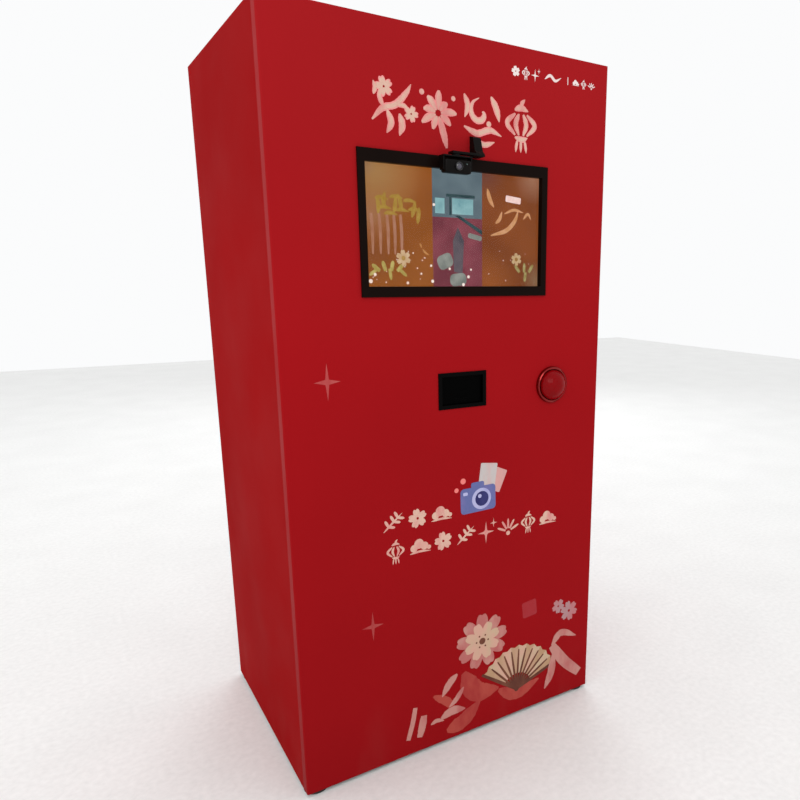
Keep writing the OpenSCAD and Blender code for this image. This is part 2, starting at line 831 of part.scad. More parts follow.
module hinge_leaves() {
    color("silver") for (z = hinge_zs) difference() {
        union() {
            block([hinge_x - 27, back, z], [hinge_x - 7.5, back + 2.5, z + hinge_h]);
            for (z0 = [z, z + hinge_h - 26]) {
                block([hinge_x - 8, back, z0], [hinge_x, back + 2.5, z0 + 26]);
                translate([hinge_x, hinge_y, z0]) cylinder(r = knuckle_r, h = 26);
            }
        }
        translate([hinge_x, hinge_y, z - 1]) cylinder(r = 3 + fit, h = hinge_h + 2);
    }
}

module hinge_pins() {
    color("silver") for (z = hinge_zs) translate([hinge_x, hinge_y, z - 2]) {
        cylinder(r = 3, h = hinge_h + 3);
        cylinder(r = 4.5, h = 2);
    }
}

module door_knuckles() {
    color("silver") for (z = hinge_zs) difference() {
        union() {
            block([hinge_x + 7.5, back, z], [hinge_x + 27, back + 2.5, z + hinge_h]);
            block([hinge_x, back + 0.3, z + 26.5], [hinge_x + 8, back + 2.5, z + hinge_h - 26.5]);
            translate([hinge_x, hinge_y, z + 26.5]) cylinder(r = knuckle_r, h = hinge_h - 53);
        }
        translate([hinge_x, hinge_y, z - 1]) cylinder(r = 3 + fit, h = hinge_h + 2);
    }
}

module rear_door() {
    x1 = door_half - 2;
    z0 = door_z0 + 2;
    z1 = door_z1 - 2;
    color("#9b1618") difference() {
        union() {
            difference() {
                block([-x1, back - door_lip, z0], [x1, back, z1]);
                block([-x1 + sheet, back - door_lip - 1, z0 + sheet], [x1 - sheet, back - sheet, z1 - sheet]);
            }
            for (x = [-200, 200])
                block([x - 20, back - 14, z0 + 60], [x + 20, back - sheet, z1 - 60]);
        }
        rod_y(0, back - 20, back + 1, fan_z, 57);
        rod_y(lock_x, back - 20, back + 1, lock_z, 11.2);
        for (x = [-90, 90], i = [0 : 9])
            block([x - 65, back - 20, 230 + i * 20], [x + 65, back + 1, 236 + i * 20]);
    }
}

module fan_frame() {
    y1 = back - sheet;
    y0 = y1 - 25;
    color("#18181a") difference() {
        block([-60, y0, fan_z - 60], [60, y1, fan_z + 60]);
        difference() {
            rod_y(0, y0 - 1, y1 + 1, fan_z, 58);
            rod_y(0, y0, y0 + 4, fan_z, 21);
            for (a = [20, 140, 260]) translate([0, y0, fan_z]) rotate([0, a, 0])
                translate([0, 0, -3]) cube([60, 3, 6]);
        }
        for (x = [-52.5, 52.5], z = [-52.5, 52.5]) rod_y(x, y0 - 1, y1 + 1, fan_z + z, 2.2);
    }
}

module fan_rotor() {
    y0 = back - sheet - 20;
    color("#222226") {
        rod_y(0, y0, y0 + 17, fan_z, 20);
        intersection() {
            difference() {
                rod_y(0, y0, y0 + 17, fan_z, 55.5);
                rod_y(0, y0 - 1, y0 + 18, fan_z, 19.5);
            }
            for (i = [0 : 6]) translate([0, y0 + 8.5, fan_z]) rotate([0, i * 360 / 7, 0])
                translate([38, 0, 0]) rotate([38, 0, 0]) cube([42, 24, 2], center = true);
        }
    }
}

module fan_guard() {
    color("#d5d7d9") difference() {
        union() {
            for (r = [16, 28, 40, 52]) difference() {
                rod_y(0, back + 0.2, back + 2.6, fan_z, r + 1.2);
                rod_y(0, back - 1, back + 4, fan_z, r - 1.2);
            }
            for (a = [45, 135]) translate([0, back + 1.4, fan_z]) rotate([0, a, 0])
                cube([152, 2.4, 3], center = true);
            for (x = [-52.5, 52.5], z = [-52.5, 52.5]) rod_y(x, back, back + 3, fan_z + z, 6);
        }
    }
}

module lock_barrel() {
    color("silver") difference() {
        union() {
            rod_y(lock_x, back, back + 5, lock_z, 17);
            rod_y(lock_x, back - 22, back + 1, lock_z, 11);
            rod_y(lock_x, back - 12, back - sheet, lock_z, 15);
        }
        rod_y(lock_x, back - 30, back + 10, lock_z, 4 + fit);
    }
}

module lock_handle() {
    color("#1a1a1c") {
        rod_y(lock_x, back + 5.2, back + 18, lock_z, 11);
        block([lock_x - 9, back + 12, lock_z - 58], [lock_x + 9, back + handle_rear, lock_z + 14]);
    }
    color("silver") {
        rod_y(lock_x, back - 28, back + 6, lock_z, 4);
        block([lock_x - 9, back - 27, lock_z - 40], [lock_x + 9, back - 24, lock_z + 9]);
    }
}

base_frame();
levelling_feet();
foot_lock_nuts();
uprights();
top_rails();
floor_pan();
front_panel();
left_side_panel();
right_side_panel();
top_panel();
rear_surround();
shelf_rails();
printer_shelf();
computer_shelf();
display_bezel();
display_glass();
display_panel();
display_brackets();
bracket_nuts();
button_ring();
button_barrel();
button_nut();
button_switch();
button_spring();
start_dome();
delivery_frame();
delivery_chute();
flap_pin();
delivery_flap();
camera_bracket();
camera_yoke();
camera_body();
camera_lens();
printer_chassis();
print_head();
cutter_housing();
cutter_blade();
printer_motor();
motor_pinion();
platen_roller();
platen_gear();
paper_roll();
roll_spindle();
printer_lid();
lid_pin();
computer();
power_supply();
mains_inlet();
power_rocker();
internal_leads();
hinge_leaves();
hinge_pins();
rear_door();
door_knuckles();
fan_frame();
fan_rotor();
fan_guard();
lock_barrel();
lock_handle();
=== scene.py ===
import math
import random

import bmesh
import bpy
from mathutils import Matrix, Vector


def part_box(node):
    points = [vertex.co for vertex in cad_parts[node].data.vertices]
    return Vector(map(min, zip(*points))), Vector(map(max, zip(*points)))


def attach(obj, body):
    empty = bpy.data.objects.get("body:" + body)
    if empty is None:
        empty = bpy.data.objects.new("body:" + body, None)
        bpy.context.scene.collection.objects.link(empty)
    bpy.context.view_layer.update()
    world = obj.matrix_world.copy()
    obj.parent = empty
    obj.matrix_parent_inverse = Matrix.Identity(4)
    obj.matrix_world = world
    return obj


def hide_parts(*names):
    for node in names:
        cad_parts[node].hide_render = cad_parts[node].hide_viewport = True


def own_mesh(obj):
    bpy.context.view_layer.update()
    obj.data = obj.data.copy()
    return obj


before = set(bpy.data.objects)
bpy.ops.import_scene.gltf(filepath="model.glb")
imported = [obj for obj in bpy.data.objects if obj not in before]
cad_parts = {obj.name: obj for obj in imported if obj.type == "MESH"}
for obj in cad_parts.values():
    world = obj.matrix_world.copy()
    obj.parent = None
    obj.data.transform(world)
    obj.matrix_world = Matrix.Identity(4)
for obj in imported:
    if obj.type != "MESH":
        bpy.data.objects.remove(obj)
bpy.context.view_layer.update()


# ---- Camera and studio light ---------------------------------------------
# The view is from the booth's left front at chest height, a little turned to the right.
# The light comes from large soft boxes and a pale room.
def aim(obj, place, right, up):
    r = Vector(right).normalized()
    u = Vector(up)
    u = (u - r * u.dot(r)).normalized()
    obj.matrix_world = Matrix.Translation(place) @ Matrix((r, u, r.cross(u))).transposed().to_4x4()


panel_low, panel_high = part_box("front_panel")
FACE = panel_low.y                      # the outer face of the front panel
HALF = panel_high.x                     # half the cabinet's width
TOP = panel_high.z                      # the cabinet's height
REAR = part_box("rear_surround")[1].y     # the rear face

camera = bpy.data.objects.new("camera", bpy.data.cameras.new("camera"))
bpy.context.collection.objects.link(camera)
camera.data.lens = 31.763
camera.data.sensor_width = 36
camera.data.shift_x = -0.15
camera.data.shift_y = 0.0462
camera.data.clip_end = 60
EYE = (-0.8772, FACE - 1.5439, 1.2951)
EYE_RIGHT = (0.82591, -0.56368, 0.01133)
EYE_UP = (0.11979, 0.19509, 0.97344)
aim(camera, EYE, EYE_RIGHT, EYE_UP)
bpy.context.scene.camera = camera
bpy.context.scene.view_settings.view_transform = "Standard"


def soft_box(name, place, target, size, power, tint):
    lamp = bpy.data.lights.new(name, "AREA")
    lamp.shape = "RECTANGLE"
    lamp.size, lamp.size_y = size
    lamp.energy = power
    lamp.color = tint
    obj = bpy.data.objects.new(name, lamp)
    bpy.context.collection.objects.link(obj)
    obj.location = place
    obj.rotation_euler = (Vector(target) - Vector(place)).to_track_quat("-Z", "Y").to_euler()
    return obj


soft_box("key_light", (-1.9, -4.2, 3.7), (0.0, -0.2, 1.1), (3.2, 2.4), 54, (1.0, 0.97, 0.94))
soft_box("side_light", (-4.6, 1.2, 2.6), (-0.4, 0.0, 0.9), (2.6, 2.6), 16, (1.0, 0.98, 0.97))
soft_box("back_light", (2.6, 4.4, 3.2), (0.0, 0.3, 1.0), (3.0, 2.2), 56, (0.97, 0.98, 1.0))
room = bpy.data.worlds.new("room")
room.use_nodes = True
room.node_tree.nodes["Background"].inputs[0].default_value = (0.985, 0.99, 0.995, 1)
room.node_tree.nodes["Background"].inputs[1].default_value = 0.98
bpy.context.scene.world = room


# ---- Floor -----------------------------------------------------------------
# A plain pale floor that the booth stands on. Its finish is built up like all the others here: the
# colour varies with a soft cloud and a finer mottle, the gloss with a third, and a bump adds grain.
def new_finish(name, rough, metal=0.0, coat=0.0, ior=1.45, sheen=0.5):
    mat = bpy.data.materials.new(name)
    mat.use_nodes = True
    shader = mat.node_tree.nodes["Principled BSDF"]
    shader.inputs["Roughness"].default_value = rough
    shader.inputs["Metallic"].default_value = metal
    shader.inputs["Coat Weight"].default_value = coat
    shader.inputs["Coat Roughness"].default_value = 0.12
    shader.inputs["IOR"].default_value = ior
    shader.inputs["Specular IOR Level"].default_value = sheen
    return mat, mat.node_tree, shader


def node(tree, kind, **values):
    made = tree.nodes.new(kind)
    for key, value in values.items():
        if hasattr(made, key):
            setattr(made, key, value)
        else:
            made.inputs[key.replace("_", " ")].default_value = value
    return made


def place_of(tree):
    return node(tree, "ShaderNodeTexCoord").outputs["Object"]


def cloud(tree, scale, detail=3.0, stretch=(1, 1, 1)):
    spread = node(tree, "ShaderNodeMapping")
    spread.inputs["Scale"].default_value = stretch
    tree.links.new(place_of(tree), spread.inputs["Vector"])
    noise = node(tree, "ShaderNodeTexNoise", Scale=scale, Detail=detail)
    tree.links.new(spread.outputs[0], noise.inputs["Vector"])
    return noise.outputs["Fac"]


def ramp(tree, source, stops):
    made = tree.nodes.new("ShaderNodeValToRGB")
    while len(made.color_ramp.elements) < len(stops):
        made.color_ramp.elements.new(0.5)
    for element, (place, colour) in zip(made.color_ramp.elements, stops):
        element.position = place
        element.color = (*colour, 1)
    tree.links.new(source, made.inputs["Fac"])
    return made.outputs["Color"]


def mix(tree, factor, a, b, blend="MIX"):
    made = node(tree, "ShaderNodeMix", data_type="RGBA", blend_type=blend)
    for socket, value in (("Factor", factor), ("A", a), ("B", b)):
        target = [s for s in made.inputs if s.name == socket and s.enabled][0]
        if isinstance(value, (int, float)):
            target.default_value = value
        elif isinstance(value, tuple):
            target.default_value = (*value, 1)
        else:
            tree.links.new(value, target)
    return [s for s in made.outputs if s.enabled][0]


def remap(tree, source, low, high, out_low, out_high):
    made = node(tree, "ShaderNodeMapRange")
    for key, value in (("From Min", low), ("From Max", high), ("To Min", out_low), ("To Max", out_high)):
        made.inputs[key].default_value = value
    tree.links.new(source, made.inputs["Value"])
    return made.outputs["Result"]


def grain(tree, shader, source, strength, distance):
    bump = node(tree, "ShaderNodeBump", Strength=strength, Distance=distance)
    tree.links.new(source, bump.inputs["Height"])
    tree.links.new(bump.outputs["Normal"], shader.inputs["Normal"])


def shade(colour, factor):
    return tuple(min(1.0, c * factor) for c in colour)


def finish(name, colour, rough=0.5, metal=0.0, coat=0.0, mottle=0.16, bump=0.15, size=600.0,
           stretch=(1, 1, 1), depth=0.0004, sheen=0.5):
    mat, tree, shader = new_finish(name, rough, metal, coat, sheen=sheen)
    broad = ramp(tree, cloud(tree, 3.0), [(0.3, shade(colour, 1 - mottle)),
                                          (0.7, shade(colour, 1 + mottle))])
    fine = ramp(tree, cloud(tree, 60.0, 4.0, stretch), [(0.25, (0.86,) * 3), (0.75, (1.0,) * 3)])
    tree.links.new(mix(tree, 0.7, broad, fine, "MULTIPLY"), shader.inputs["Base Color"])
    tree.links.new(remap(tree, cloud(tree, 24.0, 4.0, stretch), 0.3, 0.7, rough * 0.82, rough * 1.2),
                   shader.inputs["Roughness"])
    grain(tree, shader, cloud(tree, size, 2.0, stretch), bump, depth)
    return mat


REACH = 9
floor_mesh = bpy.data.meshes.new("floor")
floor_mesh.from_pydata([(-REACH, -REACH, 0), (REACH, -REACH, 0), (REACH, REACH, 0), (-REACH, REACH, 0)],
                       [], [(0, 1, 2, 3)])
floor = bpy.data.objects.new("floor", floor_mesh)
bpy.context.collection.objects.link(floor)
floor.data.materials.append(finish("pale_floor", (0.88, 0.88, 0.87), 0.7, mottle=0.02, bump=0.03))


# ---- Red sheet steel ---------------------------------------------------------
# Sides, top, rear frame and door are 2 mm sheet, folded and powder-coated red. The coat has a fine
# orange peel, and the lower edge has gathered dull scuffs and dust. Its colour is also painted darker
# towards the bottom and, where asked, lighter towards the top: painted shade and painted light.
RED = (0.325, 0.0040, 0.0054)


def red_coat(name, colour, rough, lift=0.0, sheen=0.003, painted_bottom_shade=0.90):
    mat, tree, shader = new_finish(name, rough, sheen=sheen)
    split = node(tree, "ShaderNodeSeparateXYZ")
    tree.links.new(place_of(tree), split.inputs[0])
    height = remap(tree, split.outputs["Z"], 0.0, TOP, 0.0, 1.0)
    # Painted light and shade: lift lightens the colour towards the top, and the colour is darkened towards
    # the bottom.
    painted_top_light_colour = tuple(c * (1.0 + lift) + lift * 0.12 for c in colour)
    painted_light_and_shade_tone = ramp(tree, height, [(0.0, shade(colour, 2 * painted_bottom_shade - 1)), (0.25, shade(colour, painted_bottom_shade)),
                               (0.6, colour), (1.0, painted_top_light_colour)])
    broad = ramp(tree, cloud(tree, 1.6, 2.0), [(0.3, (0.90,) * 3), (0.7, (1.0,) * 3)])
    tinted = mix(tree, 1.0, painted_light_and_shade_tone, broad, "MULTIPLY")
    dust_line = remap(tree, split.outputs["Z"], 0.02, 0.22, 0.55, 0.0)
    dust = node(tree, "ShaderNodeMath", operation="MULTIPLY")
    tree.links.new(dust_line, dust.inputs[0])
    scuffs = remap(tree, cloud(tree, 9.0, 6.0, (1, 1, 0.35)), 0.52, 0.72, 0.0, 0.12)
    tree.links.new(scuffs, dust.inputs[1])
    dusted = mix(tree, dust.outputs[0], tinted, (0.24, 0.12, 0.10))
    tree.links.new(dusted, shader.inputs["Base Color"])
    tree.links.new(remap(tree, cloud(tree, 5.0, 5.0), 0.3, 0.7, rough - 0.05, rough + 0.09),
                   shader.inputs["Roughness"])
    grain(tree, shader, cloud(tree, 420.0, 2.0), 0.10, 0.0003)
    return mat


def wear(obj_name, mat, width=0.0006, segments=2, angle=0.6):
    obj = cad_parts[obj_name]
    obj.data.materials.clear()
    obj.data.materials.append(mat)
    if width:
        edge = obj.modifiers.new("soft_edges", "BEVEL")
        edge.width = width
        edge.segments = segments
        edge.limit_method = "ANGLE"
        edge.angle_limit = angle
        edge.harden_normals = True
    return obj


side_red = red_coat("side_red", RED, 0.46, painted_bottom_shade=0.97)
door_red = red_coat("door_red", shade(RED, 0.96), 0.48, painted_bottom_shade=0.97)
for part_name in ("left_side_panel", "right_side_panel", "top_panel", "rear_surround"):
    wear(part_name, side_red, 0.0007)
wear("rear_door", door_red, 0.0007)


# ---- Front panel -------------------------------------------------------------
# The front is a folded steel pan with rounded vertical edges. A printed satin film covers it. Its
# colour is painted lighter and pinker near the top and darker near the bottom: painted light and shade.
front_red = red_coat("front_film", (0.342, 0.0064, 0.0094), 0.40, 0.035, 0.018)
wear("front_panel", front_red, 0.0006)


# ---- Printed artwork on the front --------------------------------------------
# Cut film a third of a millimetre thick, stuck on the front. The strokes are laid like brushwork:
# each follows a smooth line, swells and tapers, and has slightly ragged sides.
FILM = 0.0003
hand = random.Random(7)


def add_piece(name, mesh, body, mat):
    obj = bpy.data.objects.new(name, mesh)
    bpy.context.collection.objects.link(obj)
    obj.data.materials.append(mat)
    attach(obj, body)
    return obj


def from_bmesh(name, shape, smooth=None):
    mesh = bpy.data.meshes.new(name)
    bmesh.ops.recalc_face_normals(shape, faces=shape.faces)
    shape.to_mesh(mesh)
    shape.free()
    if smooth is not None:
        mesh.shade_smooth()
        mesh.set_sharp_from_angle(angle=smooth)
    return mesh


def add_shape(name, shape, smooth, body, mat):
    return add_piece(name, from_bmesh(name, shape, smooth), body, mat)


def on_panel(u, v):
    return Vector((HALF * (2 * u - 1), TOP * v))


def smooth_line(points, steps=9):
    ends = [points[0] * 2 - points[1], *points, points[-1] * 2 - points[-2]]
    line = []
    for a, b, c, d in zip(ends, ends[1:], ends[2:], ends[3:]):
        for i in range(steps):
            t = i / steps
            line.append(0.5 * (2 * b + (c - a) * t + (2 * a - 5 * b + 4 * c - d) * t * t
                               + (3 * b - a - 3 * c + d) * t ** 3))
    return line + [points[-1]]


def brush(points, width, rough=0.06, taper=(0.25, 0.12)):
    line = smooth_line([Vector(p) for p in points])
    last = len(line) - 1
    left, right = [], []
    for i, p in enumerate(line):
        t = i / last
        along = (line[min(i + 1, last)] - line[max(i - 1, 0)]).normalized()
        side = Vector((-along.y, along.x))
        press = taper[0] + (1 - taper[0]) * math.sin(min(1.0, t / 0.35) * math.pi / 2)
        lift = taper[1] + (1 - taper[1]) * math.cos(max(0.0, (t - 0.55) / 0.45) * math.pi / 2)
        half = 0.5 * width * press * lift
        left.append(p + side * half * (1 + hand.uniform(-rough, rough)))
        right.append(p - side * half * (1 + hand.uniform(-rough, rough)))
    return left + right[::-1]


def stroke(at, points, width, rough=0.06, taper=(0.25, 0.12)):
    return brush([at(x, z) for x, z in points], width, rough, taper)


def disc(centre, radius, count=20, squash=1.0, turn=0.0):
    spin = Matrix.Rotation(turn, 2)
    ring = [spin @ Vector((math.cos(a), math.sin(a) * squash)) * radius
            for a in (i * math.tau / count for i in range(count))]
    return [Vector(centre) + p for p in ring]


def petal(centre, length, width, turn, notch=0.0):
    spin = Matrix.Rotation(turn, 2)
    shape = []
    for i in range(17):
        a = math.pi * (i / 16)
        reach = length * (1 - notch * math.exp(-((a - math.pi / 2) / 0.22) ** 2))
        shape.append(spin @ Vector((0.5 * width * math.cos(a) * (0.55 + 0.45 * math.sin(a)),
                                    reach * math.sin(a) ** 0.8)))
    return [Vector(centre) + p for p in shape]


def blossom(centre, radius, petals=5, turn=0.0):
    width = 1.02 * radius * math.tau / petals / 1.26
    turns = [turn + k * math.tau / petals for k in range(petals)]
    return [petal(Vector(centre) + Matrix.Rotation(a, 2) @ Vector((0, 0.12 * radius)),
                  0.88 * radius, width, a, 0.16) for a in turns]


def sparkle(centre, radius, squash=0.72, waist=0.13):
    shape = []
    for i in range(16):
        a = i * math.tau / 16
        reach = (1.0, 0.30, waist, 0.30)[i % 4] if i % 4 else 1.0
        shape.append(Vector((math.sin(a) * squash, math.cos(a))) * radius * reach)
    return [Vector(centre) + p for p in shape]


def film_piece(name, outlines, mat, layer=0):
    shape = bmesh.new()
    for k, outline in enumerate(outlines):
        y = FACE - FILM * (layer + 1) - 0.00001 * (k % 12)
        loop = [shape.verts.new((p.x, y, p.y)) for p in outline]
        back = [shape.verts.new((p.x, FACE - 0.00002, p.y)) for p in outline]
        rim = [shape.edges.new((a, b)) for a, b in zip(loop, loop[1:] + loop[:1])]
        bmesh.ops.triangle_fill(shape, edges=rim, use_beauty=True)
        for a, b, c, d in zip(loop, loop[1:] + loop[:1], back[1:] + back[:1], back):
            shape.faces.new((a, b, c, d))
    return add_shape(name, shape, None, "cabinet", mat)


def film_ink(name, colour, second, rough=0.42):
    mat, tree, shader = new_finish(name, rough, sheen=0.2)
    streaks = cloud(tree, 26.0, 5.0, (1.0, 1.0, 0.45))
    tree.links.new(ramp(tree, streaks, [(0.36, second), (0.56, colour)]), shader.inputs["Base Color"])
    tree.links.new(remap(tree, cloud(tree, 60.0), 0.3, 0.7, rough - 0.06, rough + 0.1),
                   shader.inputs["Roughness"])
    grain(tree, shader, cloud(tree, 700.0, 2.0), 0.06, 0.0002)
    return mat


ink_cream = film_ink("ink_cream", (0.66, 0.42, 0.33), (0.62, 0.24, 0.22))
ink_rose = film_ink("ink_rose", (0.47, 0.085, 0.080), (0.40, 0.040, 0.042))


# Four large festive signs in a row above the display: blossom spray, firework, cloud scroll and
# lantern. Each is printed twice, a wide pink stroke under a narrower cream one.
def place(centre, size):
    return lambda x, z: Vector(centre) + Vector((x, z)) * size


def blossom_spray(at, s, w):
    yield stroke(at, ((-1.0, -0.62), (-0.5, -0.12), (0.1, 0.1), (0.62, 0.62), (0.86, 1.0)), 0.17 * w)
    yield stroke(at, ((-0.44, -0.1), (-0.62, 0.35), (-0.5, 0.8)), 0.13 * w)
    yield stroke(at, ((0.1, 0.08), (0.46, 0.10), (0.74, -0.04)), 0.12 * w)
    yield stroke(at, ((-0.3, -0.15), (-0.12, -0.65), (-0.34, -1.1)), 0.17 * w)
    yield stroke(at, ((0.28, -0.25), (0.40, -0.7), (0.26, -1.15)), 0.18 * w)
    yield stroke(at, ((-0.9, 0.38), (-0.82, 0.66), (-0.9, 0.92)), 0.12 * w)
    yield from blossom(at(-0.42, 0.74), 0.40 * s, 5, 0.3)
    yield from blossom(at(0.84, -0.20), 0.33 * s, 5, 0.9)


def firework(at, s, w):
    for k, reach in enumerate((1.0, 0.70, 0.95, 0.75, 1.45, 0.70, 0.92, 0.75, 0.88)):
        a = math.tau * k / 9 + 0.05
        x, z = math.sin(a), math.cos(a)
        middle = (0.6 * reach * x, 0.6 * reach * z + 0.03)
        yield stroke(at, ((0.14 * x, 0.14 * z), middle, (reach * x, reach * z - 0.05)), 0.19 * w,
                     taper=(0.2, 0.3))
    yield disc(at(-0.80, 0.78), 0.11 * s)
    yield disc(at(0.78, 0.70), 0.10 * s)


def cloud_scroll(at, s, w):
    curl = []
    for i in range(9):
        t = i / 8
        reach = 0.12 + 0.52 * t
        a = -5.2 * t + 0.6
        curl.append(at(reach * math.cos(a) - 0.12, reach * math.sin(a) + 0.28))
    yield brush(curl, 0.17 * w)
    yield stroke(at, ((-1.0, -0.38), (-0.3, -0.62), (0.4, -0.42), (1.05, -0.62)), 0.18 * w)
    yield stroke(at, ((-0.5, -0.92), (0.1, -1.08), (0.66, -0.92)), 0.15 * w)
    yield stroke(at, ((0.46, 1.05), (0.76, 0.55), (0.92, 0.0)), 0.19 * w)
    yield stroke(at, ((-0.98, 1.0), (-0.80, 0.5), (-0.96, 0.0)), 0.16 * w)
    yield disc(at(0.34, -0.16), 0.12 * s)


def lantern(at, s, w):
    yield stroke(at, ((-0.38, 0.66), (0.0, 0.78), (0.42, 0.66)), 0.17 * w)
    for x in (-0.80, -0.30, 0.30, 0.80):
        yield stroke(at, ((0.42 * x, 0.5), (x, 0.04), (0.42 * x, -0.46)), 0.15 * w, taper=(0.35, 0.35))
    yield stroke(at, ((-0.36, -0.56), (0.05, -0.64), (0.38, -0.54)), 0.16 * w)
    yield stroke(at, ((0.0, 0.76), (0.04, 0.98), (0.22, 1.18)), 0.12 * w)
    for x in (-0.20, 0.0, 0.21):
        yield stroke(at, ((x, -0.66), (1.3 * x, -0.95), (1.5 * x, -1.24)), 0.09 * w)


SIGN = 0.051
ink_edge = film_ink("ink_edge", (0.80, 0.29, 0.28), (0.70, 0.22, 0.21))
for sign_u, draw in ((0.316, blossom_spray), (0.439, firework), (0.571, cloud_scroll), (0.694, lantern)):
    at_sign = place(on_panel(sign_u, 0.9035), SIGN)
    hand.seed(draw.__name__)
    film_piece("sign_edge_" + draw.__name__, list(draw(at_sign, SIGN * 1.12, SIGN * 1.75)), ink_edge, 0)
    hand.seed(draw.__name__)
    film_piece("sign_" + draw.__name__, list(draw(at_sign, SIGN * 0.94, SIGN * 1.05)), ink_cream, 1)
hand.seed(7)


# Two rows of small ornaments stand under the window, and a short row at the top right: sprigs,
# clouds, sprays of drops, blossoms, sparkles and little lanterns.
def sprig(at, s):
    yield stroke(at, ((-0.95, -0.75), (-0.2, -0.1), (0.95, 0.85)), 0.20 * s)
    for x, z, turn in ((-0.45, -0.30, 0.5), (0.10, 0.12, 0.5), (0.50, 0.45, 0.5)):
        yield petal(at(x, z), 0.72 * s, 0.42 * s, turn)
        yield petal(at(x, z), 0.66 * s, 0.40 * s, turn - 2.3)


def cloudlet(at, s):
    for x, z, r in ((-0.62, -0.12, 0.38), (-0.10, 0.26, 0.50), (0.48, -0.04, 0.40), (0.95, -0.26, 0.22)):
        yield disc(at(x, z), r * s, 18)
    yield stroke(at, ((-1.05, -0.62), (0.0, -0.52), (1.15, -0.64)), 0.22 * s)


def drop_spray(at, s):
    for turn in (1.15, 0.55, 0.0, -0.55, -1.15):
        foot = at(0, -0.55) + Matrix.Rotation(turn, 2) @ Vector((0, 0.35 * s))
        yield petal(foot, 1.05 * s, 0.36 * s, turn)
    yield disc(at(0, -0.72), 0.24 * s, 14)


def small_bloom(at, s):
    yield from blossom(at(0, 0), 1.0 * s, 5, 0.2)


def small_spark(at, s):
    yield sparkle(at(-0.16, -0.12), 1.15 * s, 0.85, 0.24)
    yield sparkle(at(0.74, 0.74), 0.50 * s, 0.85, 0.30)


def small_lantern(at, s):
    yield from lantern(at, s, 1.5 * s)


marks = (sprig, small_bloom, cloudlet, small_lantern, drop_spray, small_spark)


def mark(kind, u, v, size):
    return list(marks[kind % len(marks)](place(on_panel(u, v), size), size))


MARK = 0.027
CREST = 0.0125
SMALL_CREST = 0.0095
row_one = [mark(k, 0.281 + 0.075 * k, 0.3745, MARK) for k in range(3)]
row_two = [mark(k * 5 + 3, 0.286 + 0.0752 * k, 0.3325, MARK) for k in range(8)]
film_piece("upper_marks", sum(row_one, []), ink_cream)
film_piece("lower_marks", sum(row_two, []), ink_cream)
crest = [mark(k * 2 + 1, 0.675 + 0.033 * k, 0.9695, CREST) for k in range(3)]
crest.append([stroke(on_panel, ((0.772, 0.967), (0.790, 0.9725), (0.808, 0.967), (0.828, 0.972)), 0.007)])
crest.append([stroke(on_panel, ((0.852, 0.975), (0.852, 0.970), (0.852, 0.965)), 0.0022, 0.02, (0.9, 0.9))])
crest += [mark(k + 2, 0.880 + 0.029 * k, 0.9695, SMALL_CREST) for k in range(3)]
film_piece("crest_marks", sum(crest, []), film_ink("ink_white", (0.80, 0.70, 0.68), (0.78, 0.60, 0.58)))
film_piece("star_left", [sparkle(on_panel(0.116, 0.575), 0.043, waist=0.20)], ink_rose)
film_piece("star_low", [sparkle(on_panel(0.211, 0.230), 0.040, waist=0.20)],
           film_ink("ink_dim", (0.39, 0.060, 0.056), (0.35, 0.032, 0.034)))


# ---- Pictogram of a small camera ------------------------------------------------
# Cut from the same film as the other artwork and stuck on in layers: a blue camera with a pale
# lens ring, a navy lens and small glints, with two pale prints standing up behind it.
def plate(centre, width, height, turn, corner=0.006):
    spin = Matrix.Rotation(turn, 2)
    shape = []
    for k, (sx, sz) in enumerate(((1, 1), (-1, 1), (-1, -1), (1, -1))):
        for i in range(5):
            a = math.pi / 2 * (k + i / 4)
            shape.append(Vector((sx * (width / 2 - corner), sz * (height / 2 - corner)))
                         + Vector((math.cos(a), math.sin(a))) * corner)
    return [Vector(centre) + spin @ p for p in shape]


def by_body(x, z):
    return body_at + Vector((x, z))


body_at = on_panel(0.555, 0.3855)
tilt = math.radians(1)
ink_print = film_ink("ink_print", (0.52, 0.47, 0.46), (0.60, 0.36, 0.35))
ink_print_low = film_ink("ink_print_low", (0.62, 0.32, 0.30), (0.50, 0.30, 0.30))
ink_blue = film_ink("ink_blue", (0.115, 0.135, 0.33), (0.17, 0.15, 0.36))
ink_pale_blue = film_ink("ink_pale_blue", (0.42, 0.42, 0.66), (0.34, 0.34, 0.60))
ink_navy = film_ink("ink_navy", (0.022, 0.022, 0.115), (0.035, 0.035, 0.15))
film_piece("print_right", [plate(by_body(0.058, 0.046), 0.046, 0.064, math.radians(-24), 0.003)],
           ink_print_low, 0)
film_piece("print_left", [plate(by_body(0.030, 0.060), 0.052, 0.070, math.radians(-8), 0.003)],
           ink_print, 1)
film_piece("picture_camera_body", [plate(body_at, 0.108, 0.070, tilt, 0.010),
                                   plate(by_body(-0.002, 0.037), 0.040, 0.022, tilt, 0.005)], ink_blue, 2)
film_piece("picture_camera_ring", [disc(by_body(0.010, 0.0), 0.0295, 36)], ink_pale_blue, 3)
film_piece("picture_camera_lens", [disc(by_body(0.011, 0.0), 0.0205, 32)], ink_navy, 4)
film_piece("picture_camera_glints", [disc(by_body(0.004, 0.008), 0.0055, 16),
                                     plate(by_body(-0.040, 0.020), 0.014, 0.009, tilt, 0.003)],
           ink_pale_blue, 5)
film_piece("picture_dots", [disc(by_body(-0.046, 0.056), 0.0080, 16),
                            disc(by_body(-0.066, 0.034), 0.0064, 16)],
           film_ink("ink_pink", (0.80, 0.20, 0.18), (0.74, 0.14, 0.14)))


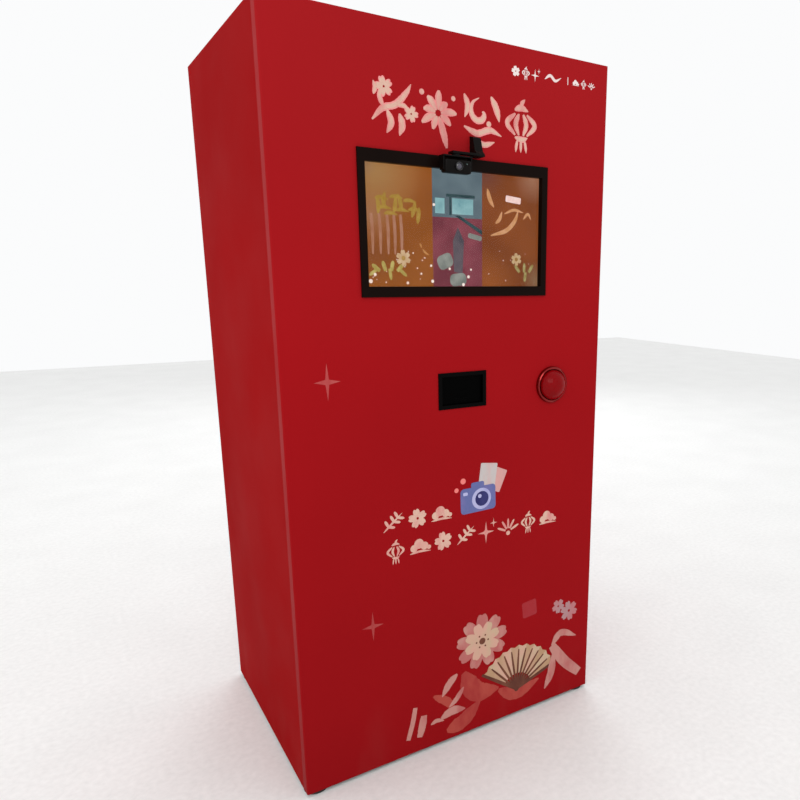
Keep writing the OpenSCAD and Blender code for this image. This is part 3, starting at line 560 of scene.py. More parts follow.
# ---- Festive group at the lower right ----------------------------------------------
# A cream bloom, an open paper fan with dark ribs, a ribbon, coral leaves, a rosette and a few
# crackers, printed in cream, tan, coral and brown.
ink_tan = film_ink("ink_tan", (0.44, 0.27, 0.155), (0.50, 0.30, 0.20))
ink_ivory = film_ink("ink_ivory", (0.52, 0.38, 0.25), (0.60, 0.34, 0.26))
ink_coral = film_ink("ink_coral", (0.40, 0.055, 0.040), (0.34, 0.030, 0.026))
ink_bark = film_ink("ink_bark", (0.105, 0.030, 0.018), (0.16, 0.055, 0.03))
ink_salmon = film_ink("ink_salmon", (0.50, 0.22, 0.19), (0.44, 0.13, 0.12))
ink_mauve = film_ink("ink_mauve", (0.40, 0.22, 0.23), (0.46, 0.16, 0.17))
ink_faint = film_ink("ink_faint", (0.33, 0.024, 0.034), (0.34, 0.016, 0.022))


def ray(angle, reach):
    return Vector((math.cos(angle), math.sin(angle))) * reach


film_piece("coral_leaves",
           [stroke(on_panel, ((0.50, 0.110), (0.545, 0.070), (0.63, 0.062)), 0.060),
            stroke(on_panel, ((0.63, 0.058), (0.70, 0.040), (0.79, 0.052)), 0.040),
            stroke(on_panel, ((0.44, 0.020), (0.50, 0.028), (0.56, 0.052)), 0.048),
            stroke(on_panel, ((0.395, 0.088), (0.44, 0.072), (0.47, 0.052)), 0.024)], ink_coral, 0)

fan_foot = on_panel(0.700, 0.048)
fan_angles = [math.radians(18 + 11.5 * k) for k in range(12)]
FOLD_START = 0.052
FOLD_END = 0.142
folds = [[fan_foot + ray(a, FOLD_START), fan_foot + ray(a, FOLD_END), fan_foot + ray((a + b) / 2, 0.136),
          fan_foot + ray(b, FOLD_END), fan_foot + ray(b, FOLD_START)]
         for a, b in zip(fan_angles, fan_angles[1:])]
film_piece("fan_folds_dark", folds[0::2], ink_tan, 1)
film_piece("fan_folds_pale", folds[1::2], ink_ivory, 1)


def fan_rib(angle, length, width, taper):
    return brush([fan_foot, fan_foot + ray(angle, 0.07), fan_foot + ray(angle, length)], width, 0.03, taper)


film_piece("fan_ribs",
           [fan_rib(a, 0.128, 0.0065, (0.8, 0.6)) for a in fan_angles[1:-1]]
           + [fan_rib(a, 0.146, 0.010, (0.9, 0.8)) for a in (fan_angles[0], fan_angles[-1])]
           + [disc(fan_foot, 0.008, 16)], ink_bark, 2)

bloom_at = on_panel(0.568, 0.154)
outer_petals = [petal(bloom_at + ray(a + math.pi / 2, 0.018), 0.068, 0.056, a, 0.1)
                for a in (k * math.tau / 9 for k in range(9))]
inner_petals = [petal(bloom_at + ray(a + math.pi / 2, 0.008), 0.052, 0.042, a, 0.08)
                for a in (0.35 + k * math.tau / 8 for k in range(8))]
film_piece("bloom_outer", outer_petals, ink_salmon, 3)
film_piece("bloom_inner", inner_petals, ink_ivory, 4)
film_piece("bloom_heart", [disc(bloom_at, 0.010, 20)]
           + [disc(bloom_at + ray(k * 1.05, 0.019), 0.0028, 10) for k in range(6)], ink_bark, 5)
film_piece("ribbon",
           [stroke(on_panel, ((0.842, 0.104), (0.895, 0.068), (0.962, 0.036)), 0.034, 0.02, (0.7, 0.8)),
            stroke(on_panel, ((0.842, 0.104), (0.880, 0.122), (0.945, 0.108)), 0.022),
            stroke(on_panel, ((0.850, 0.090), (0.84, 0.054), (0.815, 0.028)), 0.026)], ink_salmon, 3)
film_piece("rosette", blossom(on_panel(0.912, 0.158), 0.034, 6, 0.2)
           + blossom(on_panel(0.866, 0.172), 0.024, 5, 0.6), ink_mauve, 0)
film_piece("crackers",
           [stroke(on_panel, ((0.334, 0.080), (0.324, 0.056), (0.308, 0.030)), 0.014, 0.03, (0.9, 0.9)),
            stroke(on_panel, ((0.362, 0.062), (0.356, 0.046), (0.346, 0.028)), 0.022, 0.05, (0.8, 0.7)),
            stroke(on_panel, ((0.385, 0.042), (0.405, 0.045), (0.430, 0.041)), 0.012),
            stroke(on_panel, ((0.478, 0.112), (0.450, 0.100), (0.425, 0.082)), 0.022),
            stroke(on_panel, ((0.500, 0.086), (0.475, 0.070), (0.448, 0.060)), 0.016),
            stroke(on_panel, ((0.42, 0.046), (0.46, 0.052), (0.505, 0.048)), 0.026)], ink_salmon, 1)
film_piece("faint_seal", [plate(on_panel(0.748, 0.184), 0.050, 0.050, 0.1, 0.006)], ink_faint, 0)


# ---- Display -----------------------------------------------------------------------
# A 21.5 inch screen behind 2.5 mm glass, in a moulded black frame that stands 5 mm proud. The
# picture is lit from behind: two gold greeting cards with a dim camera preview between them.
black_gloss = finish("bezel_black", (0.0060, 0.0024, 0.0015), 0.34, bump=0.06, size=900.0, sheen=0.05)
wear("display_bezel", black_gloss, 0.0012, 3)
glass_mat, glass_tree, glass_shader = new_finish("screen_glass", 0.04, ior=1.13)
glass_shader.inputs["Transmission Weight"].default_value = 1.0
clear = ramp(glass_tree, cloud(glass_tree, 8.0), [(0.3, (0.97, 0.98, 0.98)), (0.7, (1.0, 1.0, 1.0))])
glass_tree.links.new(clear, glass_shader.inputs["Base Color"])
glass_tree.links.new(remap(glass_tree, cloud(glass_tree, 30.0, 6.0), 0.45, 0.75, 0.02, 0.09),
                     glass_shader.inputs["Roughness"])
grain(glass_tree, glass_shader, cloud(glass_tree, 12.0), 0.02, 0.0001)
wear("display_glass", glass_mat, 0)
metal_back = finish("module_metal", (0.52, 0.53, 0.54), 0.38, metal=0.9, stretch=(1, 1, 8), mottle=0.08)
wear("display_panel", metal_back, 0.0008)

glass_low, glass_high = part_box("display_glass")
SCREEN_W = 0.478
SCREEN_H = 0.269
screen_mid = Vector(((glass_low.x + glass_high.x) / 2, (glass_low.z + glass_high.z) / 2))


def on_screen(s, t):
    return screen_mid + Vector(((s - 0.5) * SCREEN_W, (t - 0.5) * SCREEN_H))


def glow(name, low, high, scale=9.0, stretch=(1, 1, 1), strength=0.84, hazes=()):
    mat, tree, shader = new_finish(name, 0.6, sheen=0.01)
    shader.inputs["Base Color"].default_value = (0.01, 0.01, 0.01, 1)
    shader.inputs["Emission Strength"].default_value = strength
    broad = ramp(tree, cloud(tree, scale, 4.0, stretch), [(0.34, low), (0.66, high)])
    for (s, t), haze_reach, amount, tint in hazes:
        away = node(tree, "ShaderNodeVectorMath", operation="DISTANCE")
        tree.links.new(place_of(tree), away.inputs[0])
        away.inputs[1].default_value = (on_screen(s, t).x, glass_high.y, on_screen(s, t).y)
        fade = remap(tree, away.outputs["Value"], 0.0, haze_reach, amount, 0.0)
        broad = mix(tree, fade, broad, tint)
    lines = ramp(tree, cloud(tree, 900.0, 1.0, (1, 1, 0.1)), [(0.3, (0.90,) * 3), (0.7, (1.0,) * 3)])
    tree.links.new(mix(tree, 1.0, broad, lines, "MULTIPLY"), shader.inputs["Emission Color"])
    return mat


def lit(name, outlines, mat, layer):
    shape = bmesh.new()
    y = glass_high.y - 0.0001 - 0.00008 * layer
    for outline in outlines:
        loop = [shape.verts.new((p.x, y, p.y)) for p in outline]
        rim = [shape.edges.new((a, b)) for a, b in zip(loop, loop[1:] + loop[:1])]
        bmesh.ops.triangle_fill(shape, edges=rim, use_beauty=True)
    for face in shape.faces:
        if face.normal.y > 0:
            face.normal_flip()
    mesh = bpy.data.meshes.new(name)
    shape.to_mesh(mesh)
    shape.free()
    return add_piece(name, mesh, "cabinet", mat)


def outline(*corners):
    return [on_screen(s, t) for s, t in corners]


def area(s0, s1, t0, t1):
    return outline((s0, t0), (s1, t0), (s1, t1), (s0, t1))


def spots(count, s0, s1, t0, t1, small, large):
    return [disc(on_screen(hand.uniform(s0, s1), hand.uniform(t0, t1)), hand.uniform(small, large), 12)
            for _ in range(count)]


LEFT_CARD = 0.357
RIGHT_CARD = 0.643
lit("card_left", [area(0.0, LEFT_CARD, 0.0, 1.0)],
    glow("card_gold", (0.31, 0.088, 0.012), (0.40, 0.122, 0.022), 7.0,
         hazes=(((0.06, 0.94), 0.120, 0.95, (0.45, 0.24, 0.085)),
                ((0.00, 1.00), 0.035, 0.70, (0.30, 0.17, 0.10)),
                ((0.03, 0.58), 0.060, 0.75, (0.42, 0.19, 0.095)),
                ((0.04, 0.28), 0.070, 0.60, (0.25, 0.070, 0.022)))), 0)
lit("card_left_bars",
    [stroke(on_screen, ((s, 0.60), (s + 0.004, 0.45), (s + 0.003, 0.27)), 0.0075, 0.05, (0.8, 0.5))
     for s in (0.035, 0.075, 0.115, 0.15, 0.185)],
    glow("card_bars", (0.44, 0.18, 0.095), (0.52, 0.25, 0.16), 40.0), 3)
lit("card_left_clouds",
    [stroke(on_screen, ((a, 0.62 + b), (a + c, 0.69 + b), (a + d, 0.76 + b)), 0.0105, 0.12)
     for a, b, c, d in ((0.070, -0.02, 0.004, -0.006), (0.105, 0.02, -0.006, 0.004),
                        (0.150, -0.01, 0.010, 0.012), (0.190, 0.01, -0.004, -0.016),
                        (0.245, -0.04, 0.012, 0.020), (0.275, -0.09, 0.006, 0.010))]
    + [stroke(on_screen, ((a, h), (a + 0.03, h + 0.012), (a + 0.07, h - 0.004)), 0.0085, 0.12)
       for a, h in ((0.055, 0.72), (0.13, 0.735), (0.20, 0.71), (0.07, 0.645),
                    (0.16, 0.63), (0.225, 0.64), (0.10, 0.60))],
    glow("card_clouds", (0.40, 0.225, 0.030), (0.50, 0.31, 0.06), 60.0), 4)
lit("card_left_leaves",
    [petal(on_screen(s, 0.13), 0.024, 0.014, turn)
     for s, turn in ((0.07, 0.9), (0.10, 0.3), (0.13, -0.2), (0.16, -0.8))]
    + [petal(on_screen(s, 0.15), 0.026, 0.012, turn)
       for s, turn in ((0.06, 2.2), (0.12, 3.3), (0.17, 4.0))],
    glow("card_leaves", (0.42, 0.32, 0.07), (0.62, 0.50, 0.16), 80.0), 5)
lit("card_left_bloom", blossom(on_screen(0.195, 0.24), 0.020, 6, 0.1),
    glow("card_bloom", (0.66, 0.42, 0.22), (0.78, 0.56, 0.36), 90.0), 6)
lit("card_left_heart", [disc(on_screen(0.195, 0.24), 0.0055, 14)],
    glow("card_heart", (0.50, 0.28, 0.06), (0.55, 0.32, 0.1)), 7)
lit("card_left_petals", [stroke(on_screen, ((0.30, 0.32), (0.315, 0.29), (0.335, 0.27)), 0.005),
                         stroke(on_screen, ((0.285, 0.37), (0.29, 0.35), (0.295, 0.33)), 0.004)],
    glow("card_petals", (0.60, 0.26, 0.07), (0.64, 0.30, 0.1)), 6)

lit("preview_wall", [area(LEFT_CARD, RIGHT_CARD, 0.58, 1.0)],
    glow("preview_wall", (0.115, 0.165, 0.195), (0.17, 0.235, 0.265), 14.0), 0)
lit("preview_floor", [area(LEFT_CARD, RIGHT_CARD, 0.0, 0.60)],
    glow("preview_floor", (0.19, 0.038, 0.055), (0.30, 0.070, 0.095), 16.0), 1)
lit("preview_lamps", [area(0.372, 0.425, 0.63, 0.76), area(0.468, 0.59, 0.63, 0.765)],
    glow("preview_lamps", (0.20, 0.42, 0.46), (0.34, 0.60, 0.62), 30.0), 2)
lit("preview_beam", [area(0.435, 0.60, 0.775, 0.80), area(0.452, 0.464, 0.62, 0.79),
                     outline((0.48, 0.62), (0.51, 0.62), (0.643, 0.50), (0.643, 0.46))],
    glow("preview_beam", (0.020, 0.055, 0.065), (0.045, 0.09, 0.10), 40.0), 3)
lit("preview_stand", [outline((0.475, 0.13), (0.525, 0.11), (0.535, 0.40), (0.50, 0.52), (0.47, 0.40))],
    glow("preview_stand", (0.075, 0.065, 0.085), (0.15, 0.12, 0.14), 30.0), 3)
lit("preview_haze", [plate(on_screen(0.425, 0.22), 0.042, 0.034, 0.4, 0.012),
                     plate(on_screen(0.50, 0.06), 0.046, 0.030, 0.1, 0.012),
                     plate(on_screen(0.60, 0.44), 0.040, 0.012, -0.2, 0.005)],
    glow("preview_haze", (0.20, 0.22, 0.20), (0.34, 0.36, 0.32), 40.0), 4)

lit("card_right", [area(RIGHT_CARD, 1.0, 0.0, 1.0)],
    glow("card_rust", (0.21, 0.050, 0.011), (0.29, 0.075, 0.016), 8.0,
         hazes=(((0.66, 1.00), 0.060, 0.80, (0.17, 0.059, 0.045)),
                ((0.96, 0.98), 0.060, 0.95, (0.42, 0.19, 0.11)),
                ((1.00, 0.05), 0.055, 0.95, (0.29, 0.165, 0.085)),
                ((0.70, 0.02), 0.100, 0.90, (0.37, 0.105, 0.022)))), 0)
lit("card_right_strokes",
    [stroke(on_screen, ((0.675, 0.87), (0.69, 0.78), (0.715, 0.71)), 0.011),
     stroke(on_screen, ((0.725, 0.57), (0.75, 0.61), (0.765, 0.68)), 0.009),
     stroke(on_screen, ((0.695, 0.46), (0.79, 0.51), (0.845, 0.60), (0.868, 0.70)), 0.011),
     stroke(on_screen, ((0.78, 0.66), (0.84, 0.70), (0.90, 0.68)), 0.007),
     stroke(on_screen, ((0.90, 0.62), (0.93, 0.67), (0.95, 0.62)), 0.007)],
    glow("card_strokes", (0.66, 0.30, 0.11), (0.80, 0.42, 0.22), 60.0), 3)
lit("card_right_tag", [plate(on_screen(0.835, 0.79), 0.046, 0.0155, -0.10, 0.003)],
    glow("card_tag", (0.86, 0.56, 0.50), (0.95, 0.72, 0.68), 60.0, strength=1.0), 4)
lit("card_right_leaves", [petal(on_screen(s, 0.13), 0.024, 0.013, turn)
                          for s, turn in ((0.88, 0.7), (0.91, 0.0), (0.94, -0.6), (0.92, 3.0))],
    glow("card_leaves_dim", (0.30, 0.23, 0.06), (0.46, 0.40, 0.16), 80.0), 5)
lit("card_right_bloom", blossom(on_screen(0.858, 0.25), 0.017, 6, 0.1),
    glow("card_bloom_dim", (0.58, 0.36, 0.17), (0.70, 0.50, 0.28), 90.0), 6)
lit("card_right_heart", [disc(on_screen(0.858, 0.25), 0.005, 14)],
    glow("card_heart_dim", (0.36, 0.16, 0.04), (0.40, 0.20, 0.06)), 7)
large_dots = [disc(on_screen(s, t), r, 14)
              for s, t, r in ((0.022, 0.045, 0.0048), (0.045, 0.10, 0.0036), (0.352, 0.045, 0.0040),
                              (0.45, 0.155, 0.0032), (0.53, 0.016, 0.0040), (0.56, 0.085, 0.0038),
                              (0.575, 0.15, 0.0026), (0.345, 0.18, 0.0030), (0.29, 0.11, 0.0026),
                              (0.215, 0.03, 0.0034), (0.365, 0.70, 0.0034))]
small_dots = spots(14, 0.02, 0.34, 0.03, 0.30, 0.0009, 0.0018)
small_dots += spots(8, 0.68, 0.97, 0.05, 0.35, 0.0008, 0.0016)
lit("bright_dots", large_dots + small_dots,
    glow("bright_dots", (0.86, 0.66, 0.56), (0.98, 0.86, 0.80), 60.0, strength=1.0), 8)


# ---- Display fixings -----------------------------------------------------------------
# Four bent angle brackets in zinc-plated steel clamp the screen module from behind. Each sits on a
# welded stud and is held by its nut.
zinc = finish("bright_zinc", (0.56, 0.57, 0.58), 0.32, metal=1.0, mottle=0.12, bump=0.1)
wear("display_brackets", zinc, 0.0004)
wear("bracket_nuts", zinc, 0.0003)


# The cover on the module's back has two rows of vents and a row of sockets. Each vent is a thin
# near-black plate standing just proud of the cover: painted shade in place of the slot's dark inside.
def rounded_box(shape, low, high, radius, segments=3):
    made = bmesh.ops.create_cube(shape, size=1)["verts"]
    middle = (Vector(low) + Vector(high)) / 2
    span = Vector(high) - Vector(low)
    for v in made:
        v.co = middle + Vector((v.co.x * span.x, v.co.y * span.y, v.co.z * span.z))
    edges = list({e for v in made for e in v.link_edges})
    bmesh.ops.bevel(shape, geom=edges, offset=radius, segments=segments, profile=0.5, affect="EDGES")
    return shape


module_low, module_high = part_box("display_panel")
VENT_PITCH = 0.0125
vents = bmesh.new()
for row in (0.0, 0.030):
    for k in range(16):
        x = -0.099 + VENT_PITCH * k
        z = module_low.z + 0.160 + row
        rounded_box(vents, (x, module_high.y - 0.0005, z), (x + 0.005, module_high.y + 0.0002, z + 0.020),
                    0.0001, 1)
add_shape("module_vent_shade", vents, None, "cabinet",
          finish("vent_shadow", (0.004, 0.004, 0.004), 0.7, sheen=0.1))
sockets = bmesh.new()
for x, width in ((0.010, 0.018), (0.034, 0.016), (0.058, 0.012), (0.078, 0.012)):
    rounded_box(sockets, (x, module_high.y - 0.001, module_low.z + 0.086),
                (x + width, module_high.y + 0.0016, module_low.z + 0.094), 0.0008, 2)
add_shape("module_sockets", sockets, None, "cabinet",
          finish("socket_black", (0.012, 0.012, 0.013), 0.45, sheen=0.3))


# ---- Start button ----------------------------------------------------------------------
# A 100 mm arcade-style push button: a polished metal ring whose colour is painted dark red, a painted
# reflection of the red front around it, and a glossy dark red dome moulded in one with its stem. The
# switch hangs behind the panel on a black barrel.
def lathe(profile, centre, axis, steps=72):
    shape = bmesh.new()
    turn = Vector((0, 0, 1)).rotation_difference(Vector(axis)).to_matrix()
    rings = []
    for radius, height in profile:
        count = steps if radius > 1e-6 else 1
        rings.append([shape.verts.new(Vector(centre) + turn @ Vector(
            (radius * math.cos(i * math.tau / steps), radius * math.sin(i * math.tau / steps), height)))
            for i in range(count)])
    for low, high in zip(rings, rings[1:]):
        for i in range(steps):
            j = (i + 1) % steps
            if len(low) == 1:
                shape.faces.new((low[0], high[i], high[j]))
            elif len(high) == 1:
                shape.faces.new((low[i], low[j], high[0]))
            else:
                shape.faces.new((low[i], low[j], high[j], high[i]))
    return shape


ring_low, ring_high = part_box("button_ring")
BUTTON = Vector(((ring_low.x + ring_high.x) / 2, FACE, (ring_low.z + ring_high.z) / 2))
OUTWARD = (0, -1, 0)
# The ring's metal colour is painted red: a painted reflection of the red panel around it.
ring_chrome_painted_reflection = finish("ring_chrome_painted_reflection", (0.25, 0.026, 0.026), 0.14, metal=1.0, mottle=0.2, bump=0.02)
wear("button_ring", ring_chrome_painted_reflection, 0.0008, 3)

dome_red, dome_tree, dome_shader = new_finish("dome_red", 0.16, coat=0.07, sheen=0.06)
dome_tone = ramp(dome_tree, cloud(dome_tree, 22.0), [(0.3, (0.195, 0.0008, 0.0022)),
                                                     (0.7, (0.245, 0.0012, 0.0036))])
dome_tree.links.new(dome_tone, dome_shader.inputs["Base Color"])
dome_tree.links.new(remap(dome_tree, cloud(dome_tree, 90.0, 5.0), 0.4, 0.7, 0.12, 0.26),
                    dome_shader.inputs["Roughness"])
grain(dome_tree, dome_shader, cloud(dome_tree, 300.0), 0.02, 0.0002)
DOME_R = 0.0405
CAP_R = 0.04617
CAP_TOP = 0.038
cap = [(CAP_R * math.sin(math.radians(a)), CAP_TOP - CAP_R + CAP_R * math.cos(math.radians(a)))
       for a in (58, 54, 48, 41, 34, 27, 20, 13, 6)]
dome_profile = [(0, -0.044), (0.0076, -0.044), (0.008, -0.0436), (0.008, 0.006), (DOME_R - 0.0006, 0.006),
                (DOME_R, 0.0066), (DOME_R, 0.0128), (DOME_R - 0.0003, 0.0142)] + cap + [(0, CAP_TOP)]
dome = add_shape("start_dome_moulding", lathe(dome_profile, BUTTON, OUTWARD, 96), 0.5,
                 "start_button", dome_red)
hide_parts("start_dome")

black_plastic = finish("black_plastic", (0.009, 0.009, 0.010), 0.46, bump=0.22, size=1400.0, sheen=0.35)
wear("button_barrel", black_plastic, 0.0004)
wear("button_nut", black_plastic, 0.0008)
wear("button_switch", finish("switch_red", (0.22, 0.012, 0.014), 0.5), 0.0007)


# The return spring is wound from 1.4 mm wire inside the barrel, and the dome's stem passes through it.
def tube(shape, points, radius, sides=12):
    last = len(points) - 1
    rings = []
    side = None
    for i, p in enumerate(points):
        along = (points[min(i + 1, last)] - points[max(i - 1, 0)]).normalized()
        side = along.orthogonal() if side is None else side
        side = (side - along * side.dot(along)).normalized()
        other = along.cross(side)
        rings.append([shape.verts.new(p + (side * math.cos(a) + other * math.sin(a)) * radius)
                      for a in (k * math.tau / sides for k in range(sides))])
    for low, high in zip(rings, rings[1:]):
        for k in range(sides):
            j = (k + 1) % sides
            shape.faces.new((low[k], low[j], high[j], high[k]))
    shape.faces.new(rings[0][::-1])
    shape.faces.new(rings[-1])
    return shape


SPRING_STEPS = 180
COILS = 5
SPRING_R = 0.0097                       # to the middle of the wire
SPRING_END = 0.0192                     # its inner end, behind the front's outer face
SPRING_LENGTH = 0.0244
coil = []
for i in range(SPRING_STEPS + 1):
    a = COILS * math.tau * i / SPRING_STEPS
    back = SPRING_END - SPRING_LENGTH * i / SPRING_STEPS
    coil.append(BUTTON + Vector((SPRING_R * math.cos(a), back, SPRING_R * math.sin(a))))
spring_wire = finish("spring_wire", (0.50, 0.51, 0.53), 0.28, metal=1.0, mottle=0.1)
spring = add_shape("return_spring", tube(bmesh.new(), coil, 0.0007, 10), 0.8,
                   "cabinet", spring_wire)
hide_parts("button_spring")
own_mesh(spring)


# ---- Delivery window ----------------------------------------------------------------
# A black moulded frame clipped into the front; a flap hangs in it on a steel pin, and prints drop
# into the sheet-steel chute behind.
window_black = finish("window_black", (0.0012, 0.0010, 0.0010), 0.40, bump=0.15, size=1200.0, sheen=0.04)
wear("delivery_frame", window_black, 0.0009, 3)
wear("delivery_flap", finish("flap_black", (0.0006, 0.0006, 0.0006), 0.32, bump=0.08, sheen=0.02), 0.0005)
wear("delivery_chute", finish("chute_black", (0.016, 0.016, 0.017), 0.58), 0.0004)
wear("flap_pin", zinc, 0.0002)
flap_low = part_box("delivery_flap")[0]
grip_shape = bmesh.new()
for k in range(3):
    z = flap_low.z + 0.007 + 0.004 * k
    tube(grip_shape, [Vector((x, flap_low.y + 0.0019, z)) for x in (-0.016, 0.004, 0.024)], 0.0008, 8)
add_shape("flap_grip", grip_shape, 0.6, "delivery_flap",
          finish("grip_black", (0.0012, 0.0012, 0.0013), 0.4, sheen=0.03))


# ---- Camera on its bracket --------------------------------------------------------------
# A small black camera with moulded case and glass lens. It tilts on two pins in a bent yoke, which
# pans on a stud under the arm of the cast bracket screwed to the front.
def joined(shapes):
    whole = bmesh.new()
    for part in shapes:
        spare = bpy.data.meshes.new("spare")
        part.to_mesh(spare)
        part.free()
        whole.from_mesh(spare)
        bpy.data.meshes.remove(spare)
    return whole


camera_black = finish("camera_black", (0.0030, 0.0022, 0.0018), 0.38, bump=0.2, size=1600.0, sheen=0.10)
wear("camera_bracket", camera_black, 0.0012, 3)
wear("camera_yoke", camera_black, 0.0006)
lens_low, lens_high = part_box("camera_lens")
LENS = Vector(((lens_low.x + lens_high.x) / 2, lens_high.y, (lens_low.z + lens_high.z) / 2))
CASE_X = 0.0344                         # half the case's width
CASE_Z = 0.015                          # half its height
CASE_DEPTH = 0.025                      # front to back
case_front = lens_high.y
case_parts = [rounded_box(bmesh.new(), (LENS.x - CASE_X, case_front, LENS.z - CASE_Z),
                          (LENS.x + CASE_X, case_front + CASE_DEPTH, LENS.z + CASE_Z), 0.0045, 5)]
for end in (-1, 1):
    pin_foot = (LENS.x + end * (CASE_X - 0.0002), case_front + 0.013, LENS.z)
    pin_profile = [(0, 0), (0.0025, 0), (0.0025, 0.0036), (0, 0.0036)]
    case_parts.append(lathe(pin_profile, pin_foot, (end, 0, 0), 24))
case = add_shape("camera_case", joined(case_parts), 0.7, "camera", camera_black)
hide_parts("camera_body")
barrel_profile = [(0, -0.001), (0.0095, -0.001), (0.0095, 0.0042), (0.0088, 0.005), (0.0076, 0.005),
                  (0.0070, 0.0034), (0, 0.0034)]
lens_barrel = add_shape("lens_barrel", lathe(barrel_profile, LENS, OUTWARD, 48), 0.5, "camera",
                        finish("lens_black", (0.010, 0.010, 0.011), 0.25, coat=0.3))
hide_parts("camera_lens")
lens_mat, lens_tree, lens_shader = new_finish("lens_glass", 0.05, coat=1.0, ior=1.6)
lens_tone = ramp(lens_tree, cloud(lens_tree, 160.0), [(0.35, (0.004, 0.005, 0.016)),
                                                      (0.65, (0.015, 0.008, 0.03))])
lens_tree.links.new(lens_tone, lens_shader.inputs["Base Color"])
lens_tree.links.new(remap(lens_tree, cloud(lens_tree, 400.0), 0.3, 0.7, 0.02, 0.07),
                    lens_shader.inputs["Roughness"])
front_profile = [(0.0068, 0.0033), (0.0060, 0.0038), (0.0044, 0.0044), (0.0024, 0.00475), (0, 0.0049)]
add_shape("lens_front", lathe(front_profile, LENS, OUTWARD, 40), 1.2, "camera", lens_mat)
lamp_at = (LENS.x + 0.022, case_front - 0.00005, LENS.z + 0.006)
lamp_profile = [(0.0016, 0.0), (0.0016, 0.0003), (0.0010, 0.0007), (0, 0.0008)]
add_shape("camera_lamp", lathe(lamp_profile, lamp_at, OUTWARD, 20), 1.0, "camera",
          finish("lamp_lens", (0.05, 0.10, 0.09), 0.2, coat=0.8))


# ---- Rear hinges ----------------------------------------------------------------------
# Three pressed butt hinges in bright zinc, with loose pins headed at the bottom. Each leaf is held
# by three pan-head screws.
REARWARD = (0, 1, 0)
screw_zinc = finish("screw_zinc", (0.46, 0.47, 0.48), 0.30, metal=1.0)


def screw_head(centre, axis, radius, height):
    profile = [(radius, 0), (radius, height * 0.35), (radius * 0.86, height * 0.8),
               (radius * 0.45, height), (radius * 0.32, height), (radius * 0.30, height * 0.45),
               (0, height * 0.4)]
    return lathe(profile, centre, axis, 24)


def add_screws(name, body, places, radius, height, axis=REARWARD):
    heads = joined([screw_head(spot, axis, radius, height) for spot in places])
    add_shape(name, heads, 0.6, body, screw_zinc)


for part_name in ("hinge_leaves", "hinge_pins", "door_knuckles"):
    wear(part_name, zinc, 0.0003)
HINGE_HEIGHTS = (0.300, 0.920, 1.540)
hinge_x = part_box("hinge_leaves")[0].x + 0.027
leaf_face = REAR + 0.0025
leaf_holes = [z + 0.014 + 0.026 * k for z in HINGE_HEIGHTS for k in range(3)]
add_screws("hinge_screws_frame", "cabinet", [(hinge_x - 0.017, leaf_face - 0.0001, z) for z in leaf_holes],
           0.0042, 0.0022)
add_screws("hinge_screws_door", "rear_door", [(hinge_x + 0.018, leaf_face - 0.0001, z) for z in leaf_holes],
           0.0042, 0.0022)


# The display module's cover and its edges are held by eight of the same screws.
module_back = module_high.y - 0.0001
cover_screws = [(x, module_back, z) for x in (-0.112, 0.112) for z in (1.312, 1.445)]
edge_screws = [(x, module_high.y - 0.0181, z) for x in (-0.235, 0.235) for z in (1.250, 1.536)]
add_screws("module_screws", "cabinet", cover_screws + edge_screws, 0.0032, 0.0018)


# ---- Door louvres ---------------------------------------------------------------------
# Two banks of slots let warm air out through the door. They are pressed out of its 2 mm sheet, so
# a shallow red hood shades each slot.
LOUVRES = 10
LOUVRE_PITCH = 0.020
LOUVRE_HALF = 0.068
hood_arc = [(0.0, 0.0035), (0.0016, 0.0029), (0.0030, 0.0014), (0.0036, -0.0010), (0.0034, -0.0042)]
hood_shape = bmesh.new()
for x in (-0.090, 0.090):
    for row in range(LOUVRES):
        z = 0.236 + LOUVRE_PITCH * row
        ribs = []
        for s, swell in ((-1.0, 0.0), (-0.97, 0.6), (-0.90, 1.0), (0.90, 1.0), (0.97, 0.6), (1.0, 0.0)):
            ribs.append([hood_shape.verts.new((x + LOUVRE_HALF * s, REAR - 0.0001 + out * swell, z + up))
                         for out, up in hood_arc])
        for a, b in zip(ribs, ribs[1:]):
            for k in range(len(hood_arc) - 1):
                hood_shape.faces.new((a[k], b[k], b[k + 1], a[k + 1]))
hoods = add_shape("louvre_hoods", hood_shape, 0.9, "rear_door", door_red)
thick = hoods.modifiers.new("sheet", "SOLIDIFY")
thick.thickness = 0.0006
thick.offset = 0


# ---- Fan -------------------------------------------------------------------------------
# A 120 mm case fan in black glass-filled plastic, which blows out through the door. A guard of
# plated wire covers it outside, and four screws hold both.
wear("fan_frame", black_plastic, 0.0005)
wear("fan_rotor", finish("fan_black", (0.018, 0.018, 0.020), 0.42, bump=0.12), 0.0003)
guard_low, guard_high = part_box("fan_guard")
FAN = Vector((0.0, REAR + 0.0014, (guard_low.z + guard_high.z) / 2))
FAN_HOLE = 0.0525                       # from the fan's middle to a screw, across and up
fan_corners = [(FAN_HOLE * sx, FAN_HOLE * sz) for sx in (-1, 1) for sz in (-1, 1)]


def wire_ring(centre, radius, steps):
    ring = [centre + Vector((radius * math.cos(a), 0, radius * math.sin(a)))
            for a in (i * math.tau / steps for i in range(steps + 1))]
    tube(wire_shape, ring, 0.0011, 8)


wire_shape = bmesh.new()
for reach in (0.016, 0.028, 0.040, 0.052):
    wire_ring(FAN, reach, 72)
for a in (math.pi / 4, 3 * math.pi / 4):
    arm = Vector((math.cos(a), 0, math.sin(a)))
    spoke = [FAN + arm * r + Vector((0, 0.0009, 0)) for r in (-0.0738, -0.03, 0.03, 0.0738)]
    tube(wire_shape, spoke, 0.0012, 8)
for x, z in fan_corners:
    wire_ring(FAN + Vector((x, 0.0, z)), 0.0046, 24)
guard = add_shape("guard_wires", wire_shape, 1.0, "rear_door", zinc)
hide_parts("fan_guard")
add_screws("guard_screws", "rear_door", [FAN + Vector((x, -0.0012, z)) for x, z in fan_corners],
           0.0036, 0.0032)


